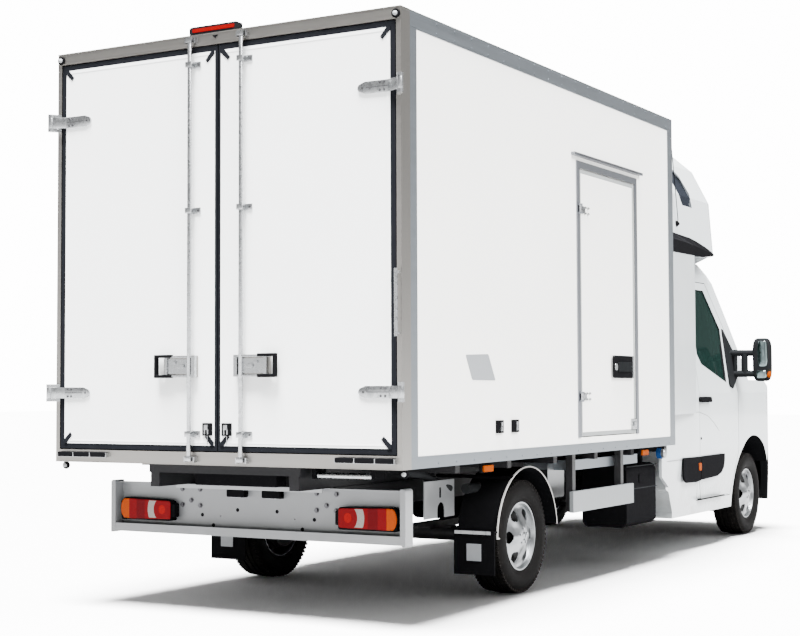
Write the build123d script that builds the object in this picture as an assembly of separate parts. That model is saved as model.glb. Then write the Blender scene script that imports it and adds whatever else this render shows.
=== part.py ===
from build123d import *
import os
from math import cos, pi, sin

os.makedirs("parts", exist_ok=True)

# A light refrigerated truck: cab chassis, insulated box with two rear doors and a side door,
# and a sleeping pod on the cab roof. It faces -Y, its right side is -X, and it stands on Z = 0.

# Whole vehicle
WHEELBASE = 4332
FRONT_OVERHANG = 870
REAR_OVERHANG = 1738
FRONT_TRACK = 1750
REAR_TRACK = 1730
FIT_GAP = 0.3
SWING_GAP = 6
OVERRUN = 40

# Wheels
TYRE_RADIUS = 340
TYRE_WIDTH = 225
TYRE_SHOULDER = 34
TYRE_SIDES = 60
RIM_RADIUS = 203
RIM_WALL = 10
RIM_WIDTH = 176
DISC_THICKNESS = 16
SPOKE_COUNT = 7
SPOKE_OPENING_LOW = 92
SPOKE_OPENING_HIGH = 176
SPOKE_OPENING_HALF_LOW = 15
SPOKE_OPENING_HALF_HIGH = 42
HUB_RADIUS = 68
HUB_SIDES = 12
HUB_DEPTH = 110
HUB_CAP_WALL = 12
SPINDLE_RADIUS = 28
SPINDLE_REACH = 60
AXLE_HEIGHT = TYRE_RADIUS

# Box body
BOX_LENGTH = 3900
BOX_WIDTH = 2268
BOX_BOTTOM = 815
BOX_TOP = 3147
SIDE_WALL = 60
ROOF_WALL = 80
FRONT_WALL = 80
FLOOR_WALL = 100
LOWER_RAIL_HEIGHT = 63
UPPER_RAIL_HEIGHT = 87
RAIL_FLANGE = 45
RAIL_SHEET = 4
FRONT_POST_WIDTH = 90
REAR_POST_WIDTH = 72

# Rear door frame and leaves
FRAME_DEPTH = 92
FRAME_PROUD = 6
FRAME_POST = 28
FRAME_SILL = 70
FRAME_HEAD = 62
DOOR_THICKNESS = 84
SEAL_WIDTH = 30
SEAL_DEPTH = 30
SEAL_SET_BACK = 2
CENTRE_SEAL_WIDTH = 16
CENTRE_GAP = 8
DOOR_STEP = 22

# Rear door hinges and lock gear
PIVOT_OUT = 24
PIVOT_BACK = 40
KNUCKLE_RADIUS = 16
PIN_RADIUS = 7
STRAP_LENGTH = 250
STRAP_HEIGHT = 62
STRAP_SHEET = 8
BRACKET_EAR = 18
HINGE_HEIGHTS = (1205, 2750)
LOCK_BAR_PLACE = 171
LOCK_BAR_RADIUS = 12
LOCK_BAR_BACK = 26
LOCK_BAR_LOW = 850
LOCK_BAR_HIGH = 3120
GUIDE_HEIGHTS = (982, 2188, 2984)
GUIDE_WIDTH = 62
GUIDE_HEIGHT = 34
GUIDE_WALL = 4
HANDLE_HEIGHT = 1346
HANDLE_BOX_WIDTH = 235
HANDLE_BOX_INSET = 46
HANDLE_BOX_HEIGHT = 116
HANDLE_BOX_DEPTH = 30
HANDLE_INSET = 46
GRIP_WIDTH = 34
GRIP_DEPTH = 14
CAM_WIDTH = 44
CAM_HEIGHT = 30
KEEPER_WIDTH = 70
KEEPER_WALL = 7
CATCH_PLACE = 64
CATCH_HEIGHT = 1008
CATCH_SIZE = 68
CATCH_DEPTH = 16
BUFFER_PLACE = 930
BUFFER_LENGTH = 355
BUFFER_HEIGHT = 26
BUFFER_DEPTH = 24
GRAB_LENGTH = 340
GRAB_HEIGHT = 1652
GRAB_RADIUS = 9
GRAB_FOOT_RADIUS = 7
GRAB_BACK = 34

# Side door in the right wall
SIDE_DOOR_REAR = 490
SIDE_DOOR_WIDTH = 925
SIDE_DOOR_LOW = 915
SIDE_DOOR_HIGH = 2600
SIDE_DOOR_GAP = 6
SIDE_SEAL_WIDTH = 26
SIDE_FRAME_WIDTH = 42
SIDE_FRAME_PROUD = 8
SIDE_PIVOT_OUT = 22
SIDE_PIVOT_AFT = 18
SIDE_KNUCKLE_RADIUS = 11
SIDE_PIN_RADIUS = 5
SIDE_STRAP_LENGTH = 84
SIDE_STRAP_HEIGHT = 40
SIDE_STRAP_SHEET = 6
SIDE_HINGE_HEIGHTS = (1168, 2340)
GUTTER_LENGTH = 1150
GUTTER_HEIGHT = 2668
GUTTER_DEPTH = 26
GUTTER_TALL = 18
SIDE_LOCK_WIDTH = 340
SIDE_LOCK_TALL = 150
SIDE_LOCK_HEIGHT = 1360
SIDE_LOCK_PROUD = 14
SIDE_LOCK_INSET = 62
WALL_CATCH_PLACES = (455, 652)
WALL_CATCH_WIDTH = 80
WALL_CATCH_DEPTH = 12

# Cooling unit inside the box
COOLER_WIDTH = 1200
COOLER_LENGTH = 520
COOLER_TALL = 190

# Chassis
RAIL_PLACE = 430
RAIL_WIDTH = 70
RAIL_TALL = 130
RAIL_LOW = 560
RAIL_WALL = 8
RAIL_FRONT_AHEAD = 520
RAIL_REAR_AFT = 1352
CROSS_PLACES_SHARES = (0.078, 0.3, 0.47, 0.62, 0.9)
CROSS_WIDTH = 80
CROSS_TALL = 70
SUBFRAME_WIDTH = 60
SUBFRAME_REAR_AFT = 1690
BEARER_COUNT = 7
BEARER_WIDTH = 50
BEARER_TALL = 48

# Rear axle and springs
AXLE_TUBE_RADIUS = 46
SPRING_LENGTH = 1180
SPRING_WIDTH = 64
SPRING_LEAF = 14
SPRING_LEAF_SHARES = (0.5, 0.75, 1)
SPRING_EYE_RADIUS = 24
HANGER_WALL = 12
BRAKE_RADIUS = 140
BRAKE_WIDTH = 60

# Steering and front suspension
KINGPIN_INSET = 165
KINGPIN_RADIUS = 26
KNUCKLE_TALL = 250
ARM_WIDTH = 64
ARM_TALL = 34
ARM_REACH = 300
STRUT_RADIUS = 24
STEER_ARM_LENGTH = 130

# Lamp beam under the tail
BEAM_AFT = 1440
BEAM_WIDTH = 1940
BEAM_LOW = 408
BEAM_HIGH = 690
BEAM_DEPTH = 74
BEAM_SHEET = 4
BEAM_TOP_LIP = 50
BEAM_BOTTOM_LIP = 46
BEAM_BRACKET_WIDTH = 60
LAMP_PLACE = 742
LAMP_WIDTH = 362
LAMP_TALL = 112
LAMP_HEIGHT = 531
LAMP_DEPTH = 52
PLATE_LAMP_PLACE = 122
PLATE_LAMP_WIDTH = 112
PLATE_LAMP_TALL = 42
PLATE_LAMP_DEPTH = 30
PLATE_LAMP_HEIGHT = 644
PLATE_HOLE_RADIUS = 4
PLATE_HOLE_SPACING = 500
PLATE_HOLE_HEIGHT = 512

# Marker lamps
MARKER_PLACES = (755, -1617)
MARKER_WIDTH = 122
MARKER_TALL = 56
MARKER_DEPTH = 26
MARKER_SET_IN = 34
TOP_LAMP_WIDTH = 326
TOP_LAMP_TALL = 46
TOP_LAMP_DEPTH = 46
TOP_LAMP_PLACE = 30
STALK_LAMP_RADIUS = 19
STALK_LAMP_LENGTH = 44
CORNER_LAMP_WIDTH = 28
CORNER_LAMP_TALL = 24
CORNER_LAMP_DEPTH = 22
CORNER_LAMP_DROP = 25

# Rear mudguards and flaps
GUARD_GAP = 66
GUARD_SHEET = 6
GUARD_INSIDE = 742
GUARD_OUTSIDE = 1004
GUARD_SKIRT_DROP = 46
FLAP_AFT = 452
FLAP_SHEET = 9
FLAP_LOW = 152
FLAP_HIGH = 402
GUARD_STAY_RADIUS = 14

# Things hung under the box
SIDE_GUARD_AFT = -450
SIDE_GUARD_LENGTH = 1005
SIDE_GUARD_LOW = 450
SIDE_GUARD_TALL = 130
SIDE_GUARD_SHEET = 26
SIDE_GUARD_SET_IN = 36
GUARD_POST_WIDTH = 46
GUARD_POST_PLACES_SHARES = (0.07, 0.86)
STEP_AFT = -592
STEP_LENGTH = 1126
STEP_LOW = 704
STEP_DEPTH = 330
STEP_SET_IN = 112
TOOL_BOX_AFT = -1596
TOOL_BOX_LENGTH = 556
TOOL_BOX_LOW = 262
TOOL_BOX_HIGH = 690
TOOL_BOX_DEPTH = 330
TOOL_BOX_SET_IN = 144
TOOL_BOX_ROUND = 50
TOOL_HANGER_WIDTH = 40
TOOL_HANGER_SHARES = (0.4, 0.75)
TANK_AFT = -900
TANK_LENGTH = 1080
TANK_WIDTH = 620
TANK_TALL = 230
TANK_ROUND = 50

# Cab outline, ahead of or behind the front axle
CAB_HALF_WIDTH = 1035
CAB_SKIN = 55
CAB_REAR_AFT = 2032
CAB_SIDE_AFT = 2168
CAB_FOOT_AFT = 1854
CAB_NOTCH_AFT = 1965
CAB_NOTCH_HEIGHT = 462
SILL_HEIGHT = 305
SILL_HALF_WIDTH = 985
WAIST_HEIGHT = 1180
GUTTER_LINE_HEIGHT = 2060
GUTTER_LINE_HALF_WIDTH = 915
ROOF_HEIGHT = 2255
ROOF_EDGE_ROUND = 90
COWL_AHEAD = 345
COWL_HEIGHT = 1285
SCREEN_TOP_AFT = 470
SCREEN_TOP_HEIGHT = 2130
SCREEN_BULGE = 350
ROOF_BACK_AFT = 800
NOSE_HEIGHT = 1010
NOSE_AHEAD = 770
BUMPER_TOP_HEIGHT = 650
BUMPER_LOW = 262
NOSE_BULGE = 330
NOSE_CORNER_ROUND = 330
ARCH_RADIUS = 485
WELL_INSIDE = 535
CAB_FLOOR_HEIGHT = 720
SILL_INSIDE = 780
FIREWALL_AFT = -60
BAY_HALF_WIDTH = 515
NOSE_ROLL = 60
ROOF_EDGE_DROP = 40
SCREEN_ABOVE_COWL = 50
SCREEN_BELOW_ROOF = 45
SCREEN_HALF_LOW = 850
SCREEN_HALF_HIGH = 730
SCREEN_LOW = COWL_HEIGHT + SCREEN_ABOVE_COWL
SCREEN_HIGH = SCREEN_TOP_HEIGHT - SCREEN_BELOW_ROOF
SCREEN_CORNER_CUT = 45
BUMPER_HIGH = 735
BUMPER_SKIN = 60
BUMPER_TUCK = 70
INTAKE_HALF_WIDTH = 480
INTAKE_LOW = 420
INTAKE_HIGH = 560
SCREEN_THICKNESS = 8
BONNET_SKIN = 26
BONNET_HALF_WIDTH = 800
BONNET_REAR_SET = 45
BONNET_LOW = 1018
FLARE_GAP = 6

# Cab doors
DOOR_REAR_AFT = 1342
DOOR_LOW = 365
DOOR_HINGE_AFT = 402
DOOR_HINGE_SET_IN = 50
DOOR_FRONT_LOW_AFT = 545
DOOR_CHAMFER = 330
DOOR_PILLAR_AFT = 545
DOOR_PILLAR_HEIGHT = 1700
DOOR_TOP_AFT = 860
DOOR_TOP_HEIGHT = 2048
DOOR_ZONE_IN = 845
DOOR_GAP = 6
WINDOW_MARGIN = 62
WINDOW_REAR_LOW = 1478
WINDOW_SILL_AFT = 1205
WINDOW_SILL_HEIGHT = 1403
WINDOW_FRONT_AFT = 660
WINDOW_FRONT_LOW = 1262
WINDOW_PILLAR_AFT = 640
WINDOW_PILLAR_HEIGHT = 1690
WINDOW_HIGH = 1990
SAIL_LENGTH = 150
GLASS_THICKNESS = 6
GLASS_SET_IN = 10
MOULDING_PROUD = 10
MOULDING_LOW = 522
MOULDING_TALL = 172
MOULDING_LENGTH = 600
MIRROR_HEAD_WIDTH = 160
MIRROR_HEAD_DEPTH = 96
MIRROR_HEAD_TALL = 350
MIRROR_HEAD_LOW = 1272
MIRROR_OUT = 246
MIRROR_AHEAD = 14
MIRROR_ARM_RADIUS = 17
MIRROR_ARM_HEIGHTS = (1345, 1500)
MIRROR_ROOT_X = 940
MIRROR_ROOT_AFT = 80
HANDLE_WIDTH = 190
HANDLE_TALL = 46
HANDLE_PROUD = 26
DOOR_HANDLE_HEIGHT = 1128

# Lamps and grille on the nose
HEADLAMP_HALF_IN = 560
HEADLAMP_LOW = 760
HEADLAMP_HIGH = 1010
HEADLAMP_DEPTH = 120
HEADLAMP_RISE = 30
GRILLE_HALF_WIDTH = 520
GRILLE_LOW = 770
GRILLE_HIGH = 960
GRILLE_BAR = 22
GRILLE_BARS = 4
GRILLE_POSTS = 3
GRILLE_DEPTH = 40

# Pod on the cab roof, sections from its base to its crown
POD_HALF_WIDTH = 1020
POD_CORNER_AFT = 862
POD_CORNER_ROUND = 200
POD_BASE = 2262
POD_TOP = 3085
POD_SKIN = 40
POD_NOSE_BULGE = 330
POD_REAR_AFT = 2158
# Height, width and corner place, each as a share
POD_SECTION_SHARES = (
    (0, 1, 1),
    (0.5, 0.98, 1.04),
    (0.78, 0.92, 1.28),
    (0.95, 0.82, 1.66),
    (1, 0.72, 1.95),
)
POD_WINDOW_LOW = 2600
POD_WINDOW_HIGH = 2900
POD_WINDOW_AFT = 1385
POD_WINDOW_MARGIN = 130
# Place from rear to front and height, each as a share
POD_WINDOW_SHARES = ((0.68, 0), (1, 0), (0.96, 0.35), (0.75, 0.75), (0.45, 1), (0, 1), (0.38, 0.72))
POD_SKIRT_LOW = 2105
POD_SKIRT_AFT = 1010

# Side fairings between cab and box
FAIRING_SHEET = 22
FAIRING_LOW = 1030
FAIRING_FRONT_AFT = 1482

# Cab inside
SEAT_WIDTH = 480
SEAT_DEPTH = 470
SEAT_THICK = 150
SEAT_HEIGHT = 1060
SEAT_BACK_TALL = 720
SEAT_BACK_THICK = 130
SEAT_PLACES = (430, -130, -620)
SEAT_AFT = 830
DASH_DEPTH = 420
DASH_HEIGHT = 1230
DASH_TALL = 330
DASH_HALF_WIDTH = 900
STEERING_RADIUS = 200
STEERING_ROD = 15
STEERING_SIDES = 24
STEERING_PLACE = 430
STEERING_HEIGHT = 1330
STEERING_AFT = 560
STEERING_TILT = 28
STEERING_COLUMN = 330
ENGINE_WIDTH = 800
ENGINE_LENGTH = 520
ENGINE_TALL = 520
ENGINE_LOW = 380
ENGINE_AHEAD = 660

# Places worked out from the sizes
REAR_REACH = REAR_OVERHANG + PIVOT_BACK + KNUCKLE_RADIUS
REAR_AXLE_Y = (WHEELBASE + FRONT_OVERHANG - REAR_REACH) / 2
FRONT_AXLE_Y = REAR_AXLE_Y - WHEELBASE
TAIL_Y = REAR_AXLE_Y + REAR_OVERHANG
BOX_FRONT_Y = TAIL_Y - BOX_LENGTH
HALF_BOX = BOX_WIDTH / 2
WALL_END_Y = TAIL_Y - FRAME_DEPTH
INNER_HALF = HALF_BOX - SIDE_WALL
FLOOR_TOP = BOX_BOTTOM + FLOOR_WALL
ROOF_LOW = BOX_TOP - ROOF_WALL
OPENING_HALF = HALF_BOX + FRAME_PROUD - FRAME_POST
OPENING_LOW = BOX_BOTTOM + FRAME_SILL
OPENING_HIGH = BOX_TOP - FRAME_HEAD
SIDES = (("left", 1), ("right", -1))

nodes = {}


def block(x_span, y_span, z_span):
    """A box between two corners, each span given as its two ends in either order."""
    size = [abs(span[1] - span[0]) for span in (x_span, y_span, z_span)]
    centre = [(span[0] + span[1]) / 2 for span in (x_span, y_span, z_span)]
    return Pos(*centre) * Box(*size)


def rod(start, end, radius):
    """A round bar from one point to another."""
    run = Vector(*end) - Vector(*start)
    return Solid.extrude(Face(Wire.make_circle(radius, Plane(start, z_dir=run))), run)


def pull(face, move):
    """A flat face pulled along a vector into a solid."""
    return Part() + [Solid.extrude(each, Vector(*move)) for each in face.faces()]


def outline_face(plane, outline, rounds=0):
    """A flat face inside an outline drawn on a plane, with its corners rounded."""
    face = make_face(plane * Polyline(*outline, close=True))
    return fillet(face.vertices(), rounds) if rounds else face


def across(outline, half_width, rounds=0):
    """A side outline of (Y, Z) points pulled across the vehicle, as wide on both sides."""
    plane = Plane(origin=(-half_width, 0, 0), x_dir=(0, 1, 0), z_dir=(1, 0, 0))
    return pull(outline_face(plane, outline, rounds), (2 * half_width, 0, 0))


def upright(outline, z_low, z_high, rounds=0):
    """A plan outline of (X, Y) points pulled from one height to another."""
    return pull(outline_face(Plane.XY.offset(z_low), outline, rounds), (0, 0, z_high - z_low))


def lengthwise(outline, y_front, y_rear, rounds=0):
    """A front outline of (X, Z) points pulled along the vehicle."""
    plane = Plane(origin=(0, y_rear, 0), x_dir=(1, 0, 0), z_dir=(0, -1, 0))
    return pull(outline_face(plane, outline, rounds), (0, y_front - y_rear, 0))


def mirrored(shape):
    """The same shape on the other side of the vehicle."""
    return mirror(shape, about=Plane.YZ)


def sided(shape, side):
    """A shape modelled on the left, kept there or put on the right."""
    return shape if side > 0 else mirrored(shape)


def keep(name, *shapes):
    """Store the pieces of one sub-part."""
    nodes[name] = Part() + list(shapes)


# Box panels

def box_panels():
    wall_y = (BOX_FRONT_Y, WALL_END_Y)
    inner_y = (BOX_FRONT_Y + FRONT_WALL, WALL_END_Y)
    roof = block((-HALF_BOX, HALF_BOX), wall_y, (ROOF_LOW, BOX_TOP))
    roof += block(
        (RAIL_FLANGE - HALF_BOX, HALF_BOX - RAIL_FLANGE),
        (BOX_FRONT_Y + RAIL_FLANGE, WALL_END_Y),
        (BOX_TOP, BOX_TOP + RAIL_SHEET),
    )
    keep("box_roof", roof)
    left_wall = block((INNER_HALF, HALF_BOX), wall_y, (BOX_BOTTOM, ROOF_LOW))
    keep("box_left_wall", left_wall)
    door_hole = block(
        (-HALF_BOX - OVERRUN, -INNER_HALF + OVERRUN),
        (side_door_y(SIDE_DOOR_WIDTH), side_door_y(0)),
        (SIDE_DOOR_LOW, SIDE_DOOR_HIGH),
    )
    keep("box_right_wall", mirrored(left_wall) - door_hole)
    keep("box_floor", block((-INNER_HALF, INNER_HALF), inner_y, (BOX_BOTTOM, FLOOR_TOP)))
    keep(
        "box_front_wall",
        block((-INNER_HALF, INNER_HALF), (BOX_FRONT_Y, inner_y[0]), (BOX_BOTTOM, ROOF_LOW)),
    )
    keep(
        "cooling_unit",
        lengthwise_cooler(inner_y[0]),
    )


def side_door_y(along):
    """A place along the side door, from its rear edge forwards."""
    return REAR_AXLE_Y - SIDE_DOOR_REAR - along


def lengthwise_cooler(front_y):
    rear_y = front_y + COOLER_LENGTH
    outline = [
        (front_y, ROOF_LOW),
        (rear_y, ROOF_LOW),
        (rear_y, ROOF_LOW - COOLER_TALL / 3),
        (front_y + COOLER_LENGTH / 3, ROOF_LOW - COOLER_TALL),
        (front_y, ROOF_LOW - COOLER_TALL),
    ]
    return across(outline, COOLER_WIDTH / 2)


def edge_rails():
    out = HALF_BOX + RAIL_SHEET
    rail_y = (BOX_FRONT_Y, WALL_END_Y)
    front_y = BOX_FRONT_Y - RAIL_SHEET
    lower = block((HALF_BOX, out), rail_y, (BOX_BOTTOM, BOX_BOTTOM + LOWER_RAIL_HEIGHT))
    upper = block((HALF_BOX, out), rail_y, (BOX_TOP - UPPER_RAIL_HEIGHT, BOX_TOP))
    upper += block((HALF_BOX - RAIL_FLANGE, out), rail_y, (BOX_TOP, BOX_TOP + RAIL_SHEET))
    posts = block((HALF_BOX, out), (WALL_END_Y - REAR_POST_WIDTH, WALL_END_Y), (BOX_BOTTOM, BOX_TOP))
    posts += block((HALF_BOX, out), (BOX_FRONT_Y, BOX_FRONT_Y + FRONT_POST_WIDTH), (BOX_BOTTOM, BOX_TOP))
    posts += block((HALF_BOX - RAIL_FLANGE, out), (front_y, BOX_FRONT_Y), (BOX_BOTTOM, BOX_TOP + RAIL_SHEET))
    one_side = lower + upper + posts
    head_z = (BOX_TOP - UPPER_RAIL_HEIGHT, BOX_TOP + RAIL_SHEET)
    head = block((-HALF_BOX, HALF_BOX), (front_y, BOX_FRONT_Y), head_z)
    head += block(
        (-HALF_BOX, HALF_BOX), (BOX_FRONT_Y, BOX_FRONT_Y + RAIL_FLANGE), (BOX_TOP, BOX_TOP + RAIL_SHEET)
    )
    keep("box_edge_rails", one_side + mirrored(one_side) + head)


# Rear door frame and what is bolted to it

def rear_frame():
    out = HALF_BOX + FRAME_PROUD
    ring = block((-out, out), (WALL_END_Y, TAIL_Y), (BOX_BOTTOM, BOX_TOP + RAIL_SHEET))
    ring -= block(
        (-OPENING_HALF, OPENING_HALF), (WALL_END_Y - OVERRUN, TAIL_Y + OVERRUN), (OPENING_LOW, OPENING_HIGH)
    )
    keep("rear_door_frame", ring)


def pivot_xy():
    return HALF_BOX + PIVOT_OUT, TAIL_Y + PIVOT_BACK


def hinge_bracket(height):
    """Two ears on the door frame, above and below the strap, with the pin between them."""
    pivot_x, pivot_y = pivot_xy()
    post_in = OPENING_HALF + FIT_GAP
    post_out = HALF_BOX + FRAME_PROUD
    low = height - STRAP_HEIGHT / 2 - FIT_GAP
    high = height + STRAP_HEIGHT / 2 + FIT_GAP
    pieces = []
    for base, top in ((low - BRACKET_EAR, low), (high, high + BRACKET_EAR)):
        ear = upright(
            [
                (post_in, TAIL_Y),
                (post_out, TAIL_Y),
                (pivot_x + KNUCKLE_RADIUS / 2, pivot_y - KNUCKLE_RADIUS),
                (pivot_x, pivot_y),
                (pivot_x - KNUCKLE_RADIUS, pivot_y),
            ],
            base,
            top,
        )
        barrel = Pos(pivot_x, pivot_y, (base + top) / 2) * Cylinder(KNUCKLE_RADIUS, top - base)
        pieces.append(ear + barrel)
    pin = Pos(pivot_x, pivot_y, height) * Cylinder(PIN_RADIUS, STRAP_HEIGHT + BRACKET_EAR)
    return pieces[0] + pieces[1] + pin


def keepers(side):
    """The cam keepers on the head and the sill, astride the lock bar."""
    pieces = []
    frame_bands = ((BOX_BOTTOM + CAM_HEIGHT, 1), (BOX_TOP - CAM_HEIGHT, -1))
    for height, _ in frame_bands:
        for step in (-1, 1):
            x = side * LOCK_BAR_PLACE + step * (KEEPER_WIDTH - KEEPER_WALL) / 2
            pieces.append(
                block(
                    (x - KEEPER_WALL / 2, x + KEEPER_WALL / 2),
                    (TAIL_Y, TAIL_Y + LOCK_BAR_BACK),
                    (height - CAM_HEIGHT / 2, height + CAM_HEIGHT / 2),
                )
            )
    return pieces


def rear_fittings():
    """The hinge brackets, keepers, buffers and grab handle on the frame, and the wall catches."""
    brackets = [hinge_bracket(height) for height in HINGE_HEIGHTS]
    pieces = brackets + [mirrored(piece) for piece in brackets]
    for _, side in SIDES:
        pieces += keepers(side)
        middle = side * BUFFER_PLACE
        pieces.append(
            block(
                (middle - BUFFER_LENGTH / 2, middle + BUFFER_LENGTH / 2),
                (TAIL_Y, TAIL_Y + BUFFER_DEPTH),
                (BOX_BOTTOM + CAM_HEIGHT, BOX_BOTTOM + CAM_HEIGHT + BUFFER_HEIGHT),
            )
        )
    for place in WALL_CATCH_PLACES:
        middle = REAR_AXLE_Y + place
        catch = block(
            (HALF_BOX, HALF_BOX + WALL_CATCH_DEPTH),
            (middle - WALL_CATCH_WIDTH / 2, middle + WALL_CATCH_WIDTH / 2),
            (CATCH_HEIGHT - CATCH_SIZE / 2, CATCH_HEIGHT + CATCH_SIZE / 2),
        )
        pieces.append(mirrored(catch))
        if place == max(WALL_CATCH_PLACES):
            pieces.append(catch)
    keep("box_fittings", *pieces, grab_handle())


def grab_handle():
    x = -(OPENING_HALF + HALF_BOX + FRAME_PROUD) / 2
    low = GRAB_HEIGHT - GRAB_LENGTH / 2
    high = GRAB_HEIGHT + GRAB_LENGTH / 2
    bar = Pos(x, TAIL_Y + GRAB_BACK, GRAB_HEIGHT) * Cylinder(GRAB_RADIUS, GRAB_LENGTH)
    for height in (low + 2 * GRAB_RADIUS, high - 2 * GRAB_RADIUS):
        bar += Pos(x, TAIL_Y + GRAB_BACK / 2, height) * Rot(90, 0, 0) * Cylinder(GRAB_FOOT_RADIUS, GRAB_BACK)
    return bar


# Rear door leaves

def door_leaf():
    """The left leaf: an insulated panel with a raised outer field that the seal runs round."""
    edge_x = OPENING_HALF - SWING_GAP
    inner = CENTRE_GAP / 2 + CENTRE_SEAL_WIDTH
    seal_in = edge_x - SEAL_WIDTH
    low = OPENING_LOW + SWING_GAP
    high = OPENING_HIGH - SWING_GAP
    field = block((inner, seal_in), (TAIL_Y - SEAL_DEPTH, TAIL_Y), (low + SEAL_WIDTH, high - SEAL_WIDTH))
    core = block(
        (inner, seal_in + DOOR_STEP),
        (TAIL_Y - DOOR_THICKNESS, TAIL_Y - SEAL_DEPTH),
        (low + SEAL_WIDTH - DOOR_STEP, high - SEAL_WIDTH + DOOR_STEP),
    )
    ring = block(
        (CENTRE_GAP / 2, edge_x), (TAIL_Y - SEAL_DEPTH, TAIL_Y - SEAL_SET_BACK), (low, high)
    )
    return core + field, ring - block(
        (inner, seal_in), (TAIL_Y - DOOR_THICKNESS, TAIL_Y), (low + SEAL_WIDTH, high - SEAL_WIDTH)
    )


def strap(height):
    """A hinge strap bolted to the leaf, cranked out over the seal to its knuckle."""
    pivot_x, pivot_y = pivot_xy()
    leaf_edge = OPENING_HALF - SWING_GAP - SEAL_WIDTH
    plate = upright(
        [
            (pivot_x - STRAP_LENGTH, TAIL_Y),
            (leaf_edge, TAIL_Y),
            (pivot_x, pivot_y - STRAP_SHEET),
            (pivot_x, pivot_y + STRAP_SHEET),
            (leaf_edge - STRAP_SHEET, TAIL_Y + STRAP_SHEET),
            (pivot_x - STRAP_LENGTH, TAIL_Y + STRAP_SHEET),
        ],
        height - STRAP_HEIGHT / 2,
        height + STRAP_HEIGHT / 2,
    )
    knuckle = Pos(pivot_x, pivot_y, height) * Cylinder(KNUCKLE_RADIUS, STRAP_HEIGHT)
    hole = Pos(pivot_x, pivot_y, height) * Cylinder(PIN_RADIUS + FIT_GAP, STRAP_HEIGHT + OVERRUN)
    return plate + knuckle - hole


def lock_gear():
    """A lock bar with its guides, its cams and the handle box between them."""
    x = LOCK_BAR_PLACE
    bar_y = TAIL_Y + LOCK_BAR_BACK
    bar = Pos(x, bar_y, (LOCK_BAR_LOW + LOCK_BAR_HIGH) / 2) * Cylinder(
        LOCK_BAR_RADIUS, LOCK_BAR_HIGH - LOCK_BAR_LOW
    )
    for height in (LOCK_BAR_LOW, LOCK_BAR_HIGH):
        bar += block(
            (x - CAM_WIDTH / 2, x + CAM_WIDTH / 2),
            (TAIL_Y + SWING_GAP, bar_y),
            (height - CAM_HEIGHT / 2, height + CAM_HEIGHT / 2),
        )
    for height in GUIDE_HEIGHTS:
        bar += block(
            (x - GUIDE_WIDTH / 2, x + GUIDE_WIDTH / 2),
            (TAIL_Y, TAIL_Y + GUIDE_WALL),
            (height - GUIDE_HEIGHT / 2, height + GUIDE_HEIGHT / 2),
        )
        bar += block(
            (x - LOCK_BAR_RADIUS - GUIDE_WALL, x + LOCK_BAR_RADIUS + GUIDE_WALL),
            (TAIL_Y, bar_y + LOCK_BAR_RADIUS + GUIDE_WALL),
            (height - GUIDE_HEIGHT / 2, height + GUIDE_HEIGHT / 2),
        )
    box_x = (x - HANDLE_BOX_INSET, x - HANDLE_BOX_INSET + HANDLE_BOX_WIDTH)
    box_z = (HANDLE_HEIGHT - HANDLE_BOX_HEIGHT / 2, HANDLE_HEIGHT + HANDLE_BOX_HEIGHT / 2)
    bar += block(box_x, (TAIL_Y, TAIL_Y + HANDLE_BOX_DEPTH), box_z)
    bar += block(
        (box_x[1] - GRIP_WIDTH, box_x[1] + GRIP_WIDTH),
        (TAIL_Y + HANDLE_BOX_DEPTH - GRIP_DEPTH, TAIL_Y + HANDLE_BOX_DEPTH + GRIP_DEPTH),
        box_z,
    )
    bar += block(
        (CATCH_PLACE - CATCH_SIZE / 2, CATCH_PLACE + CATCH_SIZE / 2),
        (TAIL_Y, TAIL_Y + CATCH_DEPTH),
        (CATCH_HEIGHT - CATCH_SIZE / 2, CATCH_HEIGHT + CATCH_SIZE / 2),
    )
    return bar


def rear_doors():
    panel, seal = door_leaf()
    gear = lock_gear()
    straps = [strap(height) for height in HINGE_HEIGHTS]
    for name, side in SIDES:
        keep(f"rear_door_{name}_panel", sided(panel, side))
        keep(f"rear_door_{name}_seal", sided(seal, side))
        keep(f"rear_door_{name}_gear", sided(gear, side), *[sided(piece, side) for piece in straps])


# Side door

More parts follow.
